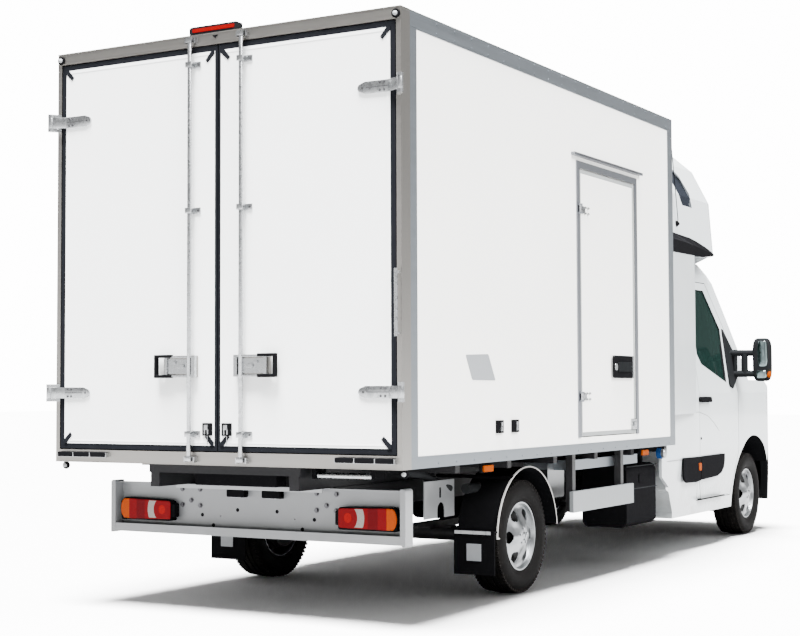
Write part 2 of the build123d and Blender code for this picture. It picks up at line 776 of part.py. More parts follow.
def side_door():
    face = -HALF_BOX
    back = -INNER_HALF
    gap = SIDE_DOOR_GAP
    y_rear = side_door_y(gap)
    y_front = side_door_y(SIDE_DOOR_WIDTH - gap)
    low = SIDE_DOOR_LOW + gap
    high = SIDE_DOOR_HIGH - gap
    ring = block((face, face + SEAL_DEPTH), (y_front, y_rear), (low, high))
    field_y = (y_front + SIDE_SEAL_WIDTH, y_rear - SIDE_SEAL_WIDTH)
    field_z = (low + SIDE_SEAL_WIDTH, high - SIDE_SEAL_WIDTH)
    ring -= block((face - OVERRUN, back), field_y, field_z)
    keep("side_door_seal", ring)
    panel = block((face, face + SEAL_DEPTH), field_y, field_z)
    panel += block((face + SEAL_DEPTH, back), (y_front, y_rear), (low, high))
    keep("side_door_panel", panel)

    pivot_x, pivot_y = side_pivot_xy()
    gear = []
    for height in SIDE_HINGE_HEIGHTS:
        plate = upright(
            [
                (face, y_rear - SIDE_STRAP_LENGTH),
                (face, y_rear - SIDE_SEAL_WIDTH),
                (pivot_x + SIDE_STRAP_SHEET, pivot_y),
                (pivot_x - SIDE_STRAP_SHEET, pivot_y),
                (face - SIDE_STRAP_SHEET, y_rear - SIDE_SEAL_WIDTH - SIDE_STRAP_SHEET),
                (face - SIDE_STRAP_SHEET, y_rear - SIDE_STRAP_LENGTH),
            ],
            height - SIDE_STRAP_HEIGHT / 2,
            height + SIDE_STRAP_HEIGHT / 2,
        )
        knuckle = Pos(pivot_x, pivot_y, height) * Cylinder(SIDE_KNUCKLE_RADIUS, SIDE_STRAP_HEIGHT)
        hole = Cylinder(SIDE_PIN_RADIUS + FIT_GAP, SIDE_STRAP_HEIGHT + OVERRUN)
        gear.append(plate + knuckle - Pos(pivot_x, pivot_y, height) * hole)
    lock_y = side_door_y(SIDE_DOOR_WIDTH - SIDE_LOCK_INSET)
    gear.append(
        block(
            (face - SIDE_LOCK_PROUD, face),
            (lock_y, lock_y + SIDE_LOCK_WIDTH),
            (SIDE_LOCK_HEIGHT - SIDE_LOCK_TALL / 2, SIDE_LOCK_HEIGHT + SIDE_LOCK_TALL / 2),
        )
    )
    keep("side_door_gear", *gear)


def side_pivot_xy():
    return -HALF_BOX - SIDE_PIVOT_OUT, side_door_y(0) + SIDE_PIVOT_AFT


def side_door_surround():
    """The trim ring round the side door with its hinge ears, and the rain gutter above it."""
    face = -HALF_BOX
    out = face - SIDE_FRAME_PROUD
    y_rear = side_door_y(0)
    y_front = side_door_y(SIDE_DOOR_WIDTH)
    wide = SIDE_FRAME_WIDTH
    ring = block((out, face), (y_front - wide, y_rear + wide), (SIDE_DOOR_LOW, SIDE_DOOR_HIGH + wide))
    ring -= block((out - OVERRUN, face), (y_front, y_rear), (SIDE_DOOR_LOW, SIDE_DOOR_HIGH))
    pivot_x, pivot_y = side_pivot_xy()
    for height in SIDE_HINGE_HEIGHTS:
        low = height - SIDE_STRAP_HEIGHT / 2 - FIT_GAP
        high = height + SIDE_STRAP_HEIGHT / 2 + FIT_GAP
        for base, top in ((low - SIDE_KNUCKLE_RADIUS, low), (high, high + SIDE_KNUCKLE_RADIUS)):
            ear_y = (pivot_y - SIDE_KNUCKLE_RADIUS, pivot_y + SIDE_KNUCKLE_RADIUS)
            ring += block((pivot_x, out), ear_y, (base, top))
            ring += Pos(pivot_x, pivot_y, (base + top) / 2) * Cylinder(SIDE_KNUCKLE_RADIUS, top - base)
        ring += Pos(pivot_x, pivot_y, height) * Cylinder(
            SIDE_PIN_RADIUS, SIDE_STRAP_HEIGHT + SIDE_KNUCKLE_RADIUS
        )
    gutter_middle = (y_rear + y_front) / 2
    gutter = block(
        (face - GUTTER_DEPTH, face),
        (gutter_middle - GUTTER_LENGTH / 2, gutter_middle + GUTTER_LENGTH / 2),
        (GUTTER_HEIGHT, GUTTER_HEIGHT + GUTTER_TALL),
    )
    keep("side_door_frame", ring, gutter)


# Chassis, axles and wheels

def chassis():
    front_y = FRONT_AXLE_Y - RAIL_FRONT_AHEAD
    rear_y = REAR_AXLE_Y + RAIL_REAR_AFT
    length = rear_y - front_y
    high = RAIL_LOW + RAIL_TALL
    rail = block((RAIL_PLACE, RAIL_PLACE + RAIL_WIDTH), (front_y, rear_y), (RAIL_LOW, high))
    rail -= block(
        (RAIL_PLACE - OVERRUN, RAIL_PLACE + RAIL_WIDTH - RAIL_WALL),
        (front_y - OVERRUN, rear_y + OVERRUN),
        (RAIL_LOW + RAIL_WALL, high - RAIL_WALL),
    )
    frame = rail + mirrored(rail)
    for share in CROSS_PLACES_SHARES:
        middle = front_y + share * length
        frame += block(
            (-RAIL_PLACE - RAIL_WIDTH + RAIL_WALL, RAIL_PLACE + RAIL_WIDTH - RAIL_WALL),
            (middle - CROSS_WIDTH / 2, middle + CROSS_WIDTH / 2),
            (RAIL_LOW + RAIL_WALL, RAIL_LOW + RAIL_WALL + CROSS_TALL),
        )

    sub_y = (BOX_FRONT_Y, REAR_AXLE_Y + SUBFRAME_REAR_AFT)
    runner = block((RAIL_PLACE, RAIL_PLACE + SUBFRAME_WIDTH), sub_y, (high, BOX_BOTTOM))
    frame += runner + mirrored(runner)
    span = sub_y[1] - sub_y[0] - BEARER_WIDTH
    for index in range(BEARER_COUNT):
        start = sub_y[0] + index * span / (BEARER_COUNT - 1)
        reach = INNER_HALF if index < BEARER_COUNT - 1 else RAIL_PLACE + RAIL_WIDTH
        frame += block((-reach, reach), (start, start + BEARER_WIDTH), (BOX_BOTTOM - BEARER_TALL, BOX_BOTTOM))
    keep("chassis_frame", frame)


def rear_axle():
    centre = AXLE_HEIGHT
    wheel_x = REAR_TRACK / 2
    tube_end = wheel_x - RIM_WIDTH / 2
    axle = rod((-tube_end, REAR_AXLE_Y, centre), (tube_end, REAR_AXLE_Y, centre), AXLE_TUBE_RADIUS)
    side = rod(
        (tube_end, REAR_AXLE_Y, centre),
        (wheel_x + SPINDLE_REACH, REAR_AXLE_Y, centre),
        SPINDLE_RADIUS,
    )
    drum_x = wheel_x - RIM_WIDTH / 2 - BRAKE_WIDTH / 2
    side += rod((drum_x, REAR_AXLE_Y, centre), (drum_x + BRAKE_WIDTH, REAR_AXLE_Y, centre), BRAKE_RADIUS)
    spring_x = RAIL_PLACE + RAIL_WIDTH / 2
    spring_low = centre + AXLE_TUBE_RADIUS
    for level, share in enumerate(SPRING_LEAF_SHARES):
        reach = share * SPRING_LENGTH / 2
        side += block(
            (spring_x - SPRING_WIDTH / 2, spring_x + SPRING_WIDTH / 2),
            (REAR_AXLE_Y - reach, REAR_AXLE_Y + reach),
            (spring_low + level * SPRING_LEAF, spring_low + (level + 1) * SPRING_LEAF),
        )
    side += block(
        (spring_x - SPRING_WIDTH / 2, spring_x + SPRING_WIDTH / 2),
        (REAR_AXLE_Y - SPRING_WIDTH / 2, REAR_AXLE_Y + SPRING_WIDTH / 2),
        (centre, spring_low),
    )
    top = spring_low + len(SPRING_LEAF_SHARES) * SPRING_LEAF
    for end in (-1, 1):
        hanger_y = REAR_AXLE_Y + end * (SPRING_LENGTH / 2 - SPRING_EYE_RADIUS)
        side += block(
            (spring_x - HANGER_WALL, spring_x + HANGER_WALL),
            (hanger_y - SPRING_EYE_RADIUS, hanger_y + SPRING_EYE_RADIUS),
            (top, RAIL_LOW),
        )
    keep("rear_axle", axle + side + mirrored(side))


def tyre(centre_x, centre_y):
    """A many-sided tyre about the wheel's own axle, with sloped shoulders and a round bore."""
    ring = pull(Pos(0, 0, -TYRE_WIDTH / 2) * RegularPolygon(TYRE_RADIUS, TYRE_SIDES), (0, 0, TYRE_WIDTH))
    flats = ring.faces().filter_by(Axis.Z)
    ring = chamfer(flats.edges(), TYRE_SHOULDER)
    ring -= Cylinder(RIM_RADIUS, TYRE_WIDTH + OVERRUN)
    return Pos(centre_x, centre_y, AXLE_HEIGHT) * Rot(0, 90, 0) * ring


def wheel(centre_x, centre_y, side):
    """A wheel with openings in its flat disc, turned about X and set at one corner."""
    half = RIM_WIDTH / 2
    inner = RIM_RADIUS - RIM_WALL
    disc_low = half - DISC_THICKNESS
    profile = [(0, disc_low), (inner, disc_low), (inner, -half)]
    profile += [(RIM_RADIUS, -half), (RIM_RADIUS, half), (0, half)]
    whole = revolve(make_face(Plane.XZ * Polyline(*profile, close=True)), Axis.Z)
    slot = upright(
        [
            (SPOKE_OPENING_LOW, SPOKE_OPENING_HALF_LOW),
            (SPOKE_OPENING_HIGH, SPOKE_OPENING_HALF_HIGH),
            (SPOKE_OPENING_HIGH, -SPOKE_OPENING_HALF_HIGH),
            (SPOKE_OPENING_LOW, -SPOKE_OPENING_HALF_LOW),
        ],
        disc_low - OVERRUN,
        half + OVERRUN,
    )
    for index in range(SPOKE_COUNT):
        whole -= Rot(0, 0, index * 360 / SPOKE_COUNT) * slot
    hub_face = Pos(0, 0, half - HUB_DEPTH) * RegularPolygon(HUB_RADIUS, HUB_SIDES)
    whole += pull(hub_face, (0, 0, HUB_DEPTH))
    bore_top = min(SPINDLE_REACH + FIT_GAP, half - HUB_CAP_WALL)
    bore_low = half - HUB_DEPTH - OVERRUN
    whole -= Pos(0, 0, (bore_low + bore_top) / 2) * Cylinder(SPINDLE_RADIUS + FIT_GAP, bore_top - bore_low)
    return Pos(centre_x, centre_y, AXLE_HEIGHT) * Rot(0, 90 * side, 0) * whole


def wheels():
    # name, track, axle place
    corners = (("front", FRONT_TRACK, FRONT_AXLE_Y), ("rear", REAR_TRACK, REAR_AXLE_Y))
    for end, track, axle_y in corners:
        for name, side in SIDES:
            keep(f"{end}_{name}_tyre", tyre(side * track / 2, axle_y))
            keep(f"{end}_{name}_wheel", wheel(side * track / 2, axle_y, side))


def knuckles():
    wheel_x = FRONT_TRACK / 2
    pin_x = wheel_x - KINGPIN_INSET
    low = AXLE_HEIGHT - KNUCKLE_TALL / 2
    post = Pos(pin_x, FRONT_AXLE_Y, AXLE_HEIGHT) * Cylinder(KINGPIN_RADIUS, KNUCKLE_TALL)
    hub_end = wheel_x - RIM_WIDTH / 2 + RIM_WALL
    knuckle = post + rod(
        (pin_x, FRONT_AXLE_Y, AXLE_HEIGHT), (hub_end, FRONT_AXLE_Y, AXLE_HEIGHT), AXLE_TUBE_RADIUS
    )
    knuckle += rod(
        (hub_end - RIM_WALL, FRONT_AXLE_Y, AXLE_HEIGHT),
        (wheel_x + SPINDLE_REACH, FRONT_AXLE_Y, AXLE_HEIGHT),
        SPINDLE_RADIUS,
    )
    knuckle += block(
        (pin_x - KINGPIN_RADIUS / 2, pin_x + KINGPIN_RADIUS / 2),
        (FRONT_AXLE_Y, FRONT_AXLE_Y + STEER_ARM_LENGTH),
        (AXLE_HEIGHT - KINGPIN_RADIUS / 2, AXLE_HEIGHT + KINGPIN_RADIUS / 2),
    )
    for name, side in SIDES:
        keep(f"{name}_knuckle", sided(knuckle, side))

    arm_high = low - FIT_GAP
    arm = block(
        (pin_x - ARM_REACH, pin_x + KINGPIN_RADIUS),
        (FRONT_AXLE_Y - ARM_WIDTH / 2, FRONT_AXLE_Y + ARM_WIDTH / 2),
        (arm_high - ARM_TALL, arm_high),
    )
    strut_low = AXLE_HEIGHT + KNUCKLE_TALL / 2 + FIT_GAP
    strut_high = AXLE_HEIGHT + (ARCH_RADIUS ** 2 - STRUT_RADIUS ** 2) ** 0.5
    strut = rod((pin_x, FRONT_AXLE_Y, strut_low), (pin_x, FRONT_AXLE_Y, strut_high), STRUT_RADIUS)
    arm += block(
        (pin_x - ARM_REACH, pin_x - ARM_REACH + ARM_WIDTH),
        (FRONT_AXLE_Y - ARM_WIDTH / 2, FRONT_AXLE_Y + ARM_WIDTH / 2),
        (arm_high, RAIL_LOW),
    )
    beam = block(
        (-pin_x + ARM_REACH, pin_x - ARM_REACH),
        (FRONT_AXLE_Y - ARM_WIDTH / 2, FRONT_AXLE_Y + ARM_WIDTH / 2),
        (arm_high - ARM_TALL, arm_high),
    )
    keep("front_suspension", arm + mirrored(arm) + beam, strut, mirrored(strut))


# Lamp beam and lamps

def lamp_beam():
    rear_y = REAR_AXLE_Y + BEAM_AFT
    front_y = rear_y - BEAM_DEPTH
    half = BEAM_WIDTH / 2
    web_y = (front_y, front_y + BEAM_SHEET)
    beam = block((-half, half), web_y, (BEAM_LOW, BEAM_HIGH))
    beam += block((-half, half), (front_y, front_y + BEAM_TOP_LIP), (BEAM_HIGH - BEAM_SHEET, BEAM_HIGH))
    beam += block((-half, half), (front_y, rear_y), (BEAM_LOW, BEAM_LOW + BEAM_SHEET))
    beam += block((-half, half), (rear_y - BEAM_SHEET, rear_y), (BEAM_LOW, BEAM_LOW + BEAM_BOTTOM_LIP))
    for side in (-1, 1):
        beam += block((side * half, side * (half - BEAM_SHEET)), (front_y, rear_y), (BEAM_LOW, BEAM_HIGH))
        bracket_x = side * RAIL_PLACE
        beam += block(
            (bracket_x, bracket_x + side * BEAM_BRACKET_WIDTH),
            (front_y - BEAM_SHEET * 2, front_y),
            (PLATE_HOLE_HEIGHT, RAIL_LOW + RAIL_TALL),
        )
    for step in (-1, 1):
        hole = Pos(step * PLATE_HOLE_SPACING / 2, front_y, PLATE_HOLE_HEIGHT) * Rot(90, 0, 0) * Cylinder(
            PLATE_HOLE_RADIUS, OVERRUN
        )
        beam -= hole
    keep("lamp_beam", beam)

    lamps = []
    for _, side in SIDES:
        middle = side * LAMP_PLACE
        lamp = lengthwise(
            [
                (middle - LAMP_WIDTH / 2, LAMP_HEIGHT - LAMP_TALL / 2),
                (middle + LAMP_WIDTH / 2, LAMP_HEIGHT - LAMP_TALL / 2),
                (middle + LAMP_WIDTH / 2, LAMP_HEIGHT + LAMP_TALL / 2),
                (middle - LAMP_WIDTH / 2, LAMP_HEIGHT + LAMP_TALL / 2),
            ],
            web_y[1],
            web_y[1] + LAMP_DEPTH,
            LAMP_TALL / 8,
        )
        lamps.append(lamp)
        middle = side * PLATE_LAMP_PLACE
        lamps.append(
            block(
                (middle - PLATE_LAMP_WIDTH / 2, middle + PLATE_LAMP_WIDTH / 2),
                (web_y[1], web_y[1] + PLATE_LAMP_DEPTH),
                (PLATE_LAMP_HEIGHT - PLATE_LAMP_TALL / 2, PLATE_LAMP_HEIGHT + PLATE_LAMP_TALL / 2),
            )
        )
    keep("rear_lamps", *lamps)


def marker_lamps():
    pieces = []
    under = (BOX_BOTTOM - MARKER_TALL, BOX_BOTTOM)
    for place in MARKER_PLACES:
        middle = REAR_AXLE_Y + place
        lamp = block(
            (HALF_BOX - MARKER_SET_IN, HALF_BOX - MARKER_SET_IN + MARKER_DEPTH),
            (middle - MARKER_WIDTH / 2, middle + MARKER_WIDTH / 2),
            under,
        )
        pieces += [lamp, mirrored(lamp)]
    stalk_x = HALF_BOX - STALK_LAMP_RADIUS
    stalk_y = TAIL_Y - FRAME_DEPTH / 2
    stalk_low = BOX_BOTTOM - STALK_LAMP_LENGTH
    stalk = rod((stalk_x, stalk_y, BOX_BOTTOM), (stalk_x, stalk_y, stalk_low), STALK_LAMP_RADIUS)
    corner_x = HALF_BOX + FRAME_PROUD
    corner = block(
        (corner_x - CORNER_LAMP_WIDTH, corner_x),
        (TAIL_Y, TAIL_Y + CORNER_LAMP_DEPTH),
        (BOX_TOP - CORNER_LAMP_DROP - CORNER_LAMP_TALL, BOX_TOP - CORNER_LAMP_DROP),
    )
    pieces += [stalk, mirrored(stalk), corner, mirrored(corner)]
    top_low = BOX_TOP + RAIL_SHEET
    pieces.append(
        block(
            (TOP_LAMP_PLACE - TOP_LAMP_WIDTH / 2, TOP_LAMP_PLACE + TOP_LAMP_WIDTH / 2),
            (TAIL_Y - TOP_LAMP_DEPTH, TAIL_Y),
            (top_low, top_low + TOP_LAMP_TALL),
        )
    )
    keep("marker_lamps", *pieces)


# Mudguards, guards, step and boxes under the body

def ring_sector(inner, outer, x_span, centre_y, centre_z, low_z):
    """Half a round guard about an axle, cut off level at its foot."""
    middle = (x_span[0] + x_span[1]) / 2
    width = abs(x_span[1] - x_span[0])
    place = Pos(middle, centre_y, centre_z) * Rot(0, 90, 0)
    ring = place * (Cylinder(outer, width) - Cylinder(inner, width + OVERRUN))
    reach = outer + OVERRUN
    cut = block(
        (middle - width, middle + width), (centre_y - reach, centre_y + reach), (low_z, centre_z - reach)
    )
    return ring - cut


def mudguards():
    inner = TYRE_RADIUS + GUARD_GAP
    outer = inner + GUARD_SHEET
    foot = AXLE_HEIGHT + GUARD_SKIRT_DROP
    guard = ring_sector(inner, outer, (GUARD_INSIDE, GUARD_OUTSIDE), REAR_AXLE_Y, AXLE_HEIGHT, foot)
    flap_y = REAR_AXLE_Y + FLAP_AFT
    flap = block(
        (GUARD_INSIDE, GUARD_OUTSIDE),
        (flap_y - FLAP_SHEET / 2, flap_y + FLAP_SHEET / 2),
        (FLAP_LOW, FLAP_HIGH),
    )
    stay_top = AXLE_HEIGHT + outer * sin(pi / 3)
    stay_y = REAR_AXLE_Y + outer * cos(pi / 3)
    stay_start = (RAIL_PLACE + RAIL_WIDTH, stay_y, stay_top)
    stay = rod(stay_start, (GUARD_OUTSIDE, stay_y, stay_top), GUARD_STAY_RADIUS)
    link = block(
        (GUARD_INSIDE, GUARD_OUTSIDE),
        (REAR_AXLE_Y + inner, flap_y - FLAP_SHEET / 2),
        (FLAP_HIGH - FLAP_SHEET, FLAP_HIGH),
    )
    stay -= Pos((GUARD_INSIDE + GUARD_OUTSIDE) / 2, REAR_AXLE_Y, AXLE_HEIGHT) * Rot(0, 90, 0) * Cylinder(
        outer, BOX_WIDTH
    )
    whole = guard + stay + link + flap
    keep("mudguards", whole, mirrored(whole))


def side_guards():
    out = HALF_BOX - SIDE_GUARD_SET_IN
    rear_y = REAR_AXLE_Y + SIDE_GUARD_AFT
    front_y = rear_y - SIDE_GUARD_LENGTH
    guard = block(
        (out - SIDE_GUARD_SHEET, out), (front_y, rear_y), (SIDE_GUARD_LOW, SIDE_GUARD_LOW + SIDE_GUARD_TALL)
    )
    for share in GUARD_POST_PLACES_SHARES:
        middle = rear_y - share * SIDE_GUARD_LENGTH
        guard += block(
            (out - SIDE_GUARD_SHEET - GUARD_POST_WIDTH, out - SIDE_GUARD_SHEET),
            (middle - GUARD_POST_WIDTH / 2, middle + GUARD_POST_WIDTH / 2),
            (SIDE_GUARD_LOW, BOX_BOTTOM),
        )
    keep("side_guards", guard, mirrored(guard))


def step_and_boxes():
    out = HALF_BOX - STEP_SET_IN
    rear_y = REAR_AXLE_Y + STEP_AFT
    front_y = rear_y - STEP_LENGTH
    keep(
        "side_step",
        block((-out, -out + STEP_DEPTH), (front_y, rear_y), (STEP_LOW, BOX_BOTTOM - BEARER_TALL)),
    )
    box_x = -(HALF_BOX - TOOL_BOX_SET_IN)
    box_y = REAR_AXLE_Y + TOOL_BOX_AFT
    tool = lengthwise(
        [
            (box_x, TOOL_BOX_LOW),
            (box_x + TOOL_BOX_DEPTH, TOOL_BOX_LOW),
            (box_x + TOOL_BOX_DEPTH, TOOL_BOX_HIGH),
            (box_x, TOOL_BOX_HIGH),
        ],
        box_y - TOOL_BOX_LENGTH,
        box_y,
        TOOL_BOX_ROUND,
    )
    for share in TOOL_HANGER_SHARES:
        middle = box_y - share * TOOL_BOX_LENGTH
        tool += block(
            (box_x + TOOL_BOX_ROUND, box_x + TOOL_BOX_DEPTH - TOOL_BOX_ROUND),
            (middle - TOOL_HANGER_WIDTH / 2, middle + TOOL_HANGER_WIDTH / 2),
            (TOOL_BOX_HIGH, BOX_BOTTOM),
        )
    keep("tool_box", tool)
    tank_y = REAR_AXLE_Y + TANK_AFT
    tank_high = RAIL_LOW + RAIL_WALL
    tank = lengthwise(
        [
            (-TANK_WIDTH / 2, tank_high - TANK_TALL),
            (TANK_WIDTH / 2, tank_high - TANK_TALL),
            (TANK_WIDTH / 2, tank_high),
            (-TANK_WIDTH / 2, tank_high),
        ],
        tank_y - TANK_LENGTH,
        tank_y,
        TANK_ROUND,
    )
    keep("fuel_tank", tank)


# Cab body

def fore(aft):
    """A place measured back from the front axle."""
    return FRONT_AXLE_Y + aft


def front_outline(half_low, half_waist, half_gutter, roof_drop):
    """The cab seen from the front, from sill to roof."""
    return [
        (half_low, BUMPER_LOW - OVERRUN),
        (half_waist, (WAIST_HEIGHT + SILL_HEIGHT) / 2),
        (half_waist, WAIST_HEIGHT),
        (half_gutter, GUTTER_LINE_HEIGHT),
        (half_gutter - ROOF_EDGE_ROUND / 3, ROOF_HEIGHT - ROOF_EDGE_ROUND - roof_drop),
        (half_gutter - ROOF_EDGE_ROUND, ROOF_HEIGHT - roof_drop),
    ]


def nose_plan(inset, bulge, front_y, half):
    """A plan outline with straight sides, round corners and a bowed front, drawn in by a wall."""
    rear_y = fore(CAB_REAR_AFT) + OVERRUN * 2
    corner_y = front_y + bulge
    outline = Polyline((-half, corner_y), (-half, rear_y), (half, rear_y), (half, corner_y))
    outline += ThreePointArc((half, corner_y), (0, front_y), (-half, corner_y))
    face = make_face(outline)
    front_corners = face.vertices().sort_by(Axis.Y)[:2]
    face = fillet(front_corners, NOSE_CORNER_ROUND)
    return offset(face, -inset) if inset else face


def cab_solid(inset):
    """The cab's outer form, or the same form drawn in by a wall."""
    half = CAB_HALF_WIDTH
    right = front_outline(SILL_HALF_WIDTH, half, GUTTER_LINE_HALF_WIDTH, ROOF_EDGE_DROP)
    section = right + [(-x, z) for x, z in reversed(right)]
    section_face = make_face(Plane.XZ * Polyline(*section, close=True))
    if inset:
        section_face = offset(section_face, -inset)
    tube = pull(Pos(0, fore(CAB_REAR_AFT) - inset, 0) * section_face, (0, -FRONT_OVERHANG - CAB_REAR_AFT, 0))

    lower_side = [
        (fore(-FRONT_OVERHANG) + inset, BUMPER_LOW + inset),
        (fore(-FRONT_OVERHANG) + inset, BUMPER_TOP_HEIGHT),
        (fore(-NOSE_AHEAD) + inset, NOSE_HEIGHT),
        (fore(-NOSE_AHEAD + NOSE_ROLL) + inset / 2, NOSE_HEIGHT + NOSE_ROLL - inset),
        (fore(-COWL_AHEAD), COWL_HEIGHT - inset),
        (fore(CAB_REAR_AFT) - inset, COWL_HEIGHT - inset),
        (fore(CAB_REAR_AFT) - inset, BUMPER_LOW + inset),
    ]
    lower = across(lower_side, half)
    lower &= pull(nose_plan(inset, NOSE_BULGE, fore(-FRONT_OVERHANG), half), (0, 0, POD_TOP))

    slope = (ROOF_HEIGHT - SCREEN_TOP_HEIGHT) / (ROOF_BACK_AFT - SCREEN_TOP_AFT)
    brow = ROOF_HEIGHT - slope * (ROOF_BACK_AFT + FRONT_OVERHANG)
    upper_side = [
        (fore(-FRONT_OVERHANG), COWL_HEIGHT - inset - OVERRUN),
        (fore(-FRONT_OVERHANG), brow - inset),
        (fore(ROOF_BACK_AFT), ROOF_HEIGHT - inset),
        (fore(CAB_REAR_AFT) - inset, ROOF_HEIGHT - inset),
        (fore(CAB_REAR_AFT) - inset, COWL_HEIGHT - inset - OVERRUN),
    ]
    rise = ROOF_HEIGHT - COWL_HEIGHT + 2 * OVERRUN
    run = (SCREEN_TOP_AFT + COWL_AHEAD) / (SCREEN_TOP_HEIGHT - COWL_HEIGHT)
    start_z = COWL_HEIGHT - OVERRUN - inset
    start_y = fore(-COWL_AHEAD) - (OVERRUN + inset) * run
    screen_plan = Pos(0, 0, start_z) * nose_plan(inset, SCREEN_BULGE, start_y, half)
    house = pull(screen_plan, (0, run * (rise + inset), rise + inset))
    house &= across(upper_side, half)
    return tube & (lower + house)


def side_zone(outline, x_low, x_high, grow=0):
    """An outline of (Y, Z) points pulled through the left side of the cab."""
    face = make_face(Plane.YZ * Polyline(*outline, close=True))
    if grow:
        face = offset(face, grow, kind=Kind.INTERSECTION)
    return pull(Pos(x_low, 0, 0) * face, (x_high - x_low, 0, 0))


def door_outline():
    return [
        (fore(DOOR_REAR_AFT), DOOR_LOW),
        (fore(DOOR_FRONT_LOW_AFT), DOOR_LOW),
        (fore(DOOR_HINGE_AFT), DOOR_LOW + DOOR_CHAMFER),
        (fore(DOOR_HINGE_AFT), WAIST_HEIGHT),
        (fore(DOOR_PILLAR_AFT), DOOR_PILLAR_HEIGHT),
        (fore(DOOR_TOP_AFT), DOOR_TOP_HEIGHT),
        (fore(DOOR_REAR_AFT), DOOR_TOP_HEIGHT),
    ]


def window_outline():
    return [
        (fore(DOOR_REAR_AFT - WINDOW_MARGIN), WINDOW_REAR_LOW),
        (fore(WINDOW_SILL_AFT), WINDOW_SILL_HEIGHT),
        (fore(WINDOW_FRONT_AFT), WINDOW_FRONT_LOW),
        (fore(WINDOW_PILLAR_AFT), WINDOW_PILLAR_HEIGHT),
        (fore(DOOR_TOP_AFT + WINDOW_MARGIN), WINDOW_HIGH),
        (fore(DOOR_REAR_AFT - WINDOW_MARGIN), WINDOW_HIGH),
    ]


def wheel_well(radius, inside):
    """The round space over one front wheel."""
    middle = (inside + CAB_HALF_WIDTH + OVERRUN) / 2
    width = CAB_HALF_WIDTH + OVERRUN - inside
    well = Pos(middle, FRONT_AXLE_Y, AXLE_HEIGHT) * Rot(0, 90, 0) * Cylinder(radius, width)
    return well + block(
        (inside, CAB_HALF_WIDTH + OVERRUN),
        (FRONT_AXLE_Y - radius, FRONT_AXLE_Y + radius),
        (0, AXLE_HEIGHT),
    )


def bonnet_zone(grow):
    half = BONNET_HALF_WIDTH + grow
    return block(
        (-half, half),
        (fore(-FRONT_OVERHANG) - OVERRUN, fore(-COWL_AHEAD - BONNET_REAR_SET) + grow),
        (BONNET_LOW - min(grow, FIT_GAP), COWL_HEIGHT + OVERRUN),
    )


def screen_zone(grow):
    half_low = SCREEN_HALF_LOW + grow
    half_high = SCREEN_HALF_HIGH + grow
    cut = SCREEN_CORNER_CUT
    right = [
        (half_low - cut, SCREEN_LOW - grow),
        (half_low, SCREEN_LOW - grow + cut),
        (half_high, SCREEN_HIGH + grow - cut),
        (half_high - cut, SCREEN_HIGH + grow),
    ]
    outline = right + [(-x, z) for x, z in reversed(right)]
    return lengthwise(outline, fore(-FRONT_OVERHANG), fore(ROOF_BACK_AFT))


def headlamp_zone():
    lamp = lengthwise(
        [
            (HEADLAMP_HALF_IN, HEADLAMP_LOW + HEADLAMP_RISE),
            (CAB_HALF_WIDTH + OVERRUN, HEADLAMP_LOW + 2 * HEADLAMP_RISE),
            (CAB_HALF_WIDTH + OVERRUN, HEADLAMP_HIGH + HEADLAMP_RISE),
            (HEADLAMP_HALF_IN, HEADLAMP_HIGH - HEADLAMP_RISE),
        ],
        fore(-FRONT_OVERHANG) - OVERRUN,
        fore(-ARCH_RADIUS) - SWING_GAP,
    )
    return lamp


def grille_zone():
    return block(
        (-GRILLE_HALF_WIDTH, GRILLE_HALF_WIDTH),
        (fore(-FRONT_OVERHANG) - OVERRUN, fore(-NOSE_AHEAD) + OVERRUN),
        (GRILLE_LOW, GRILLE_HIGH),
    )


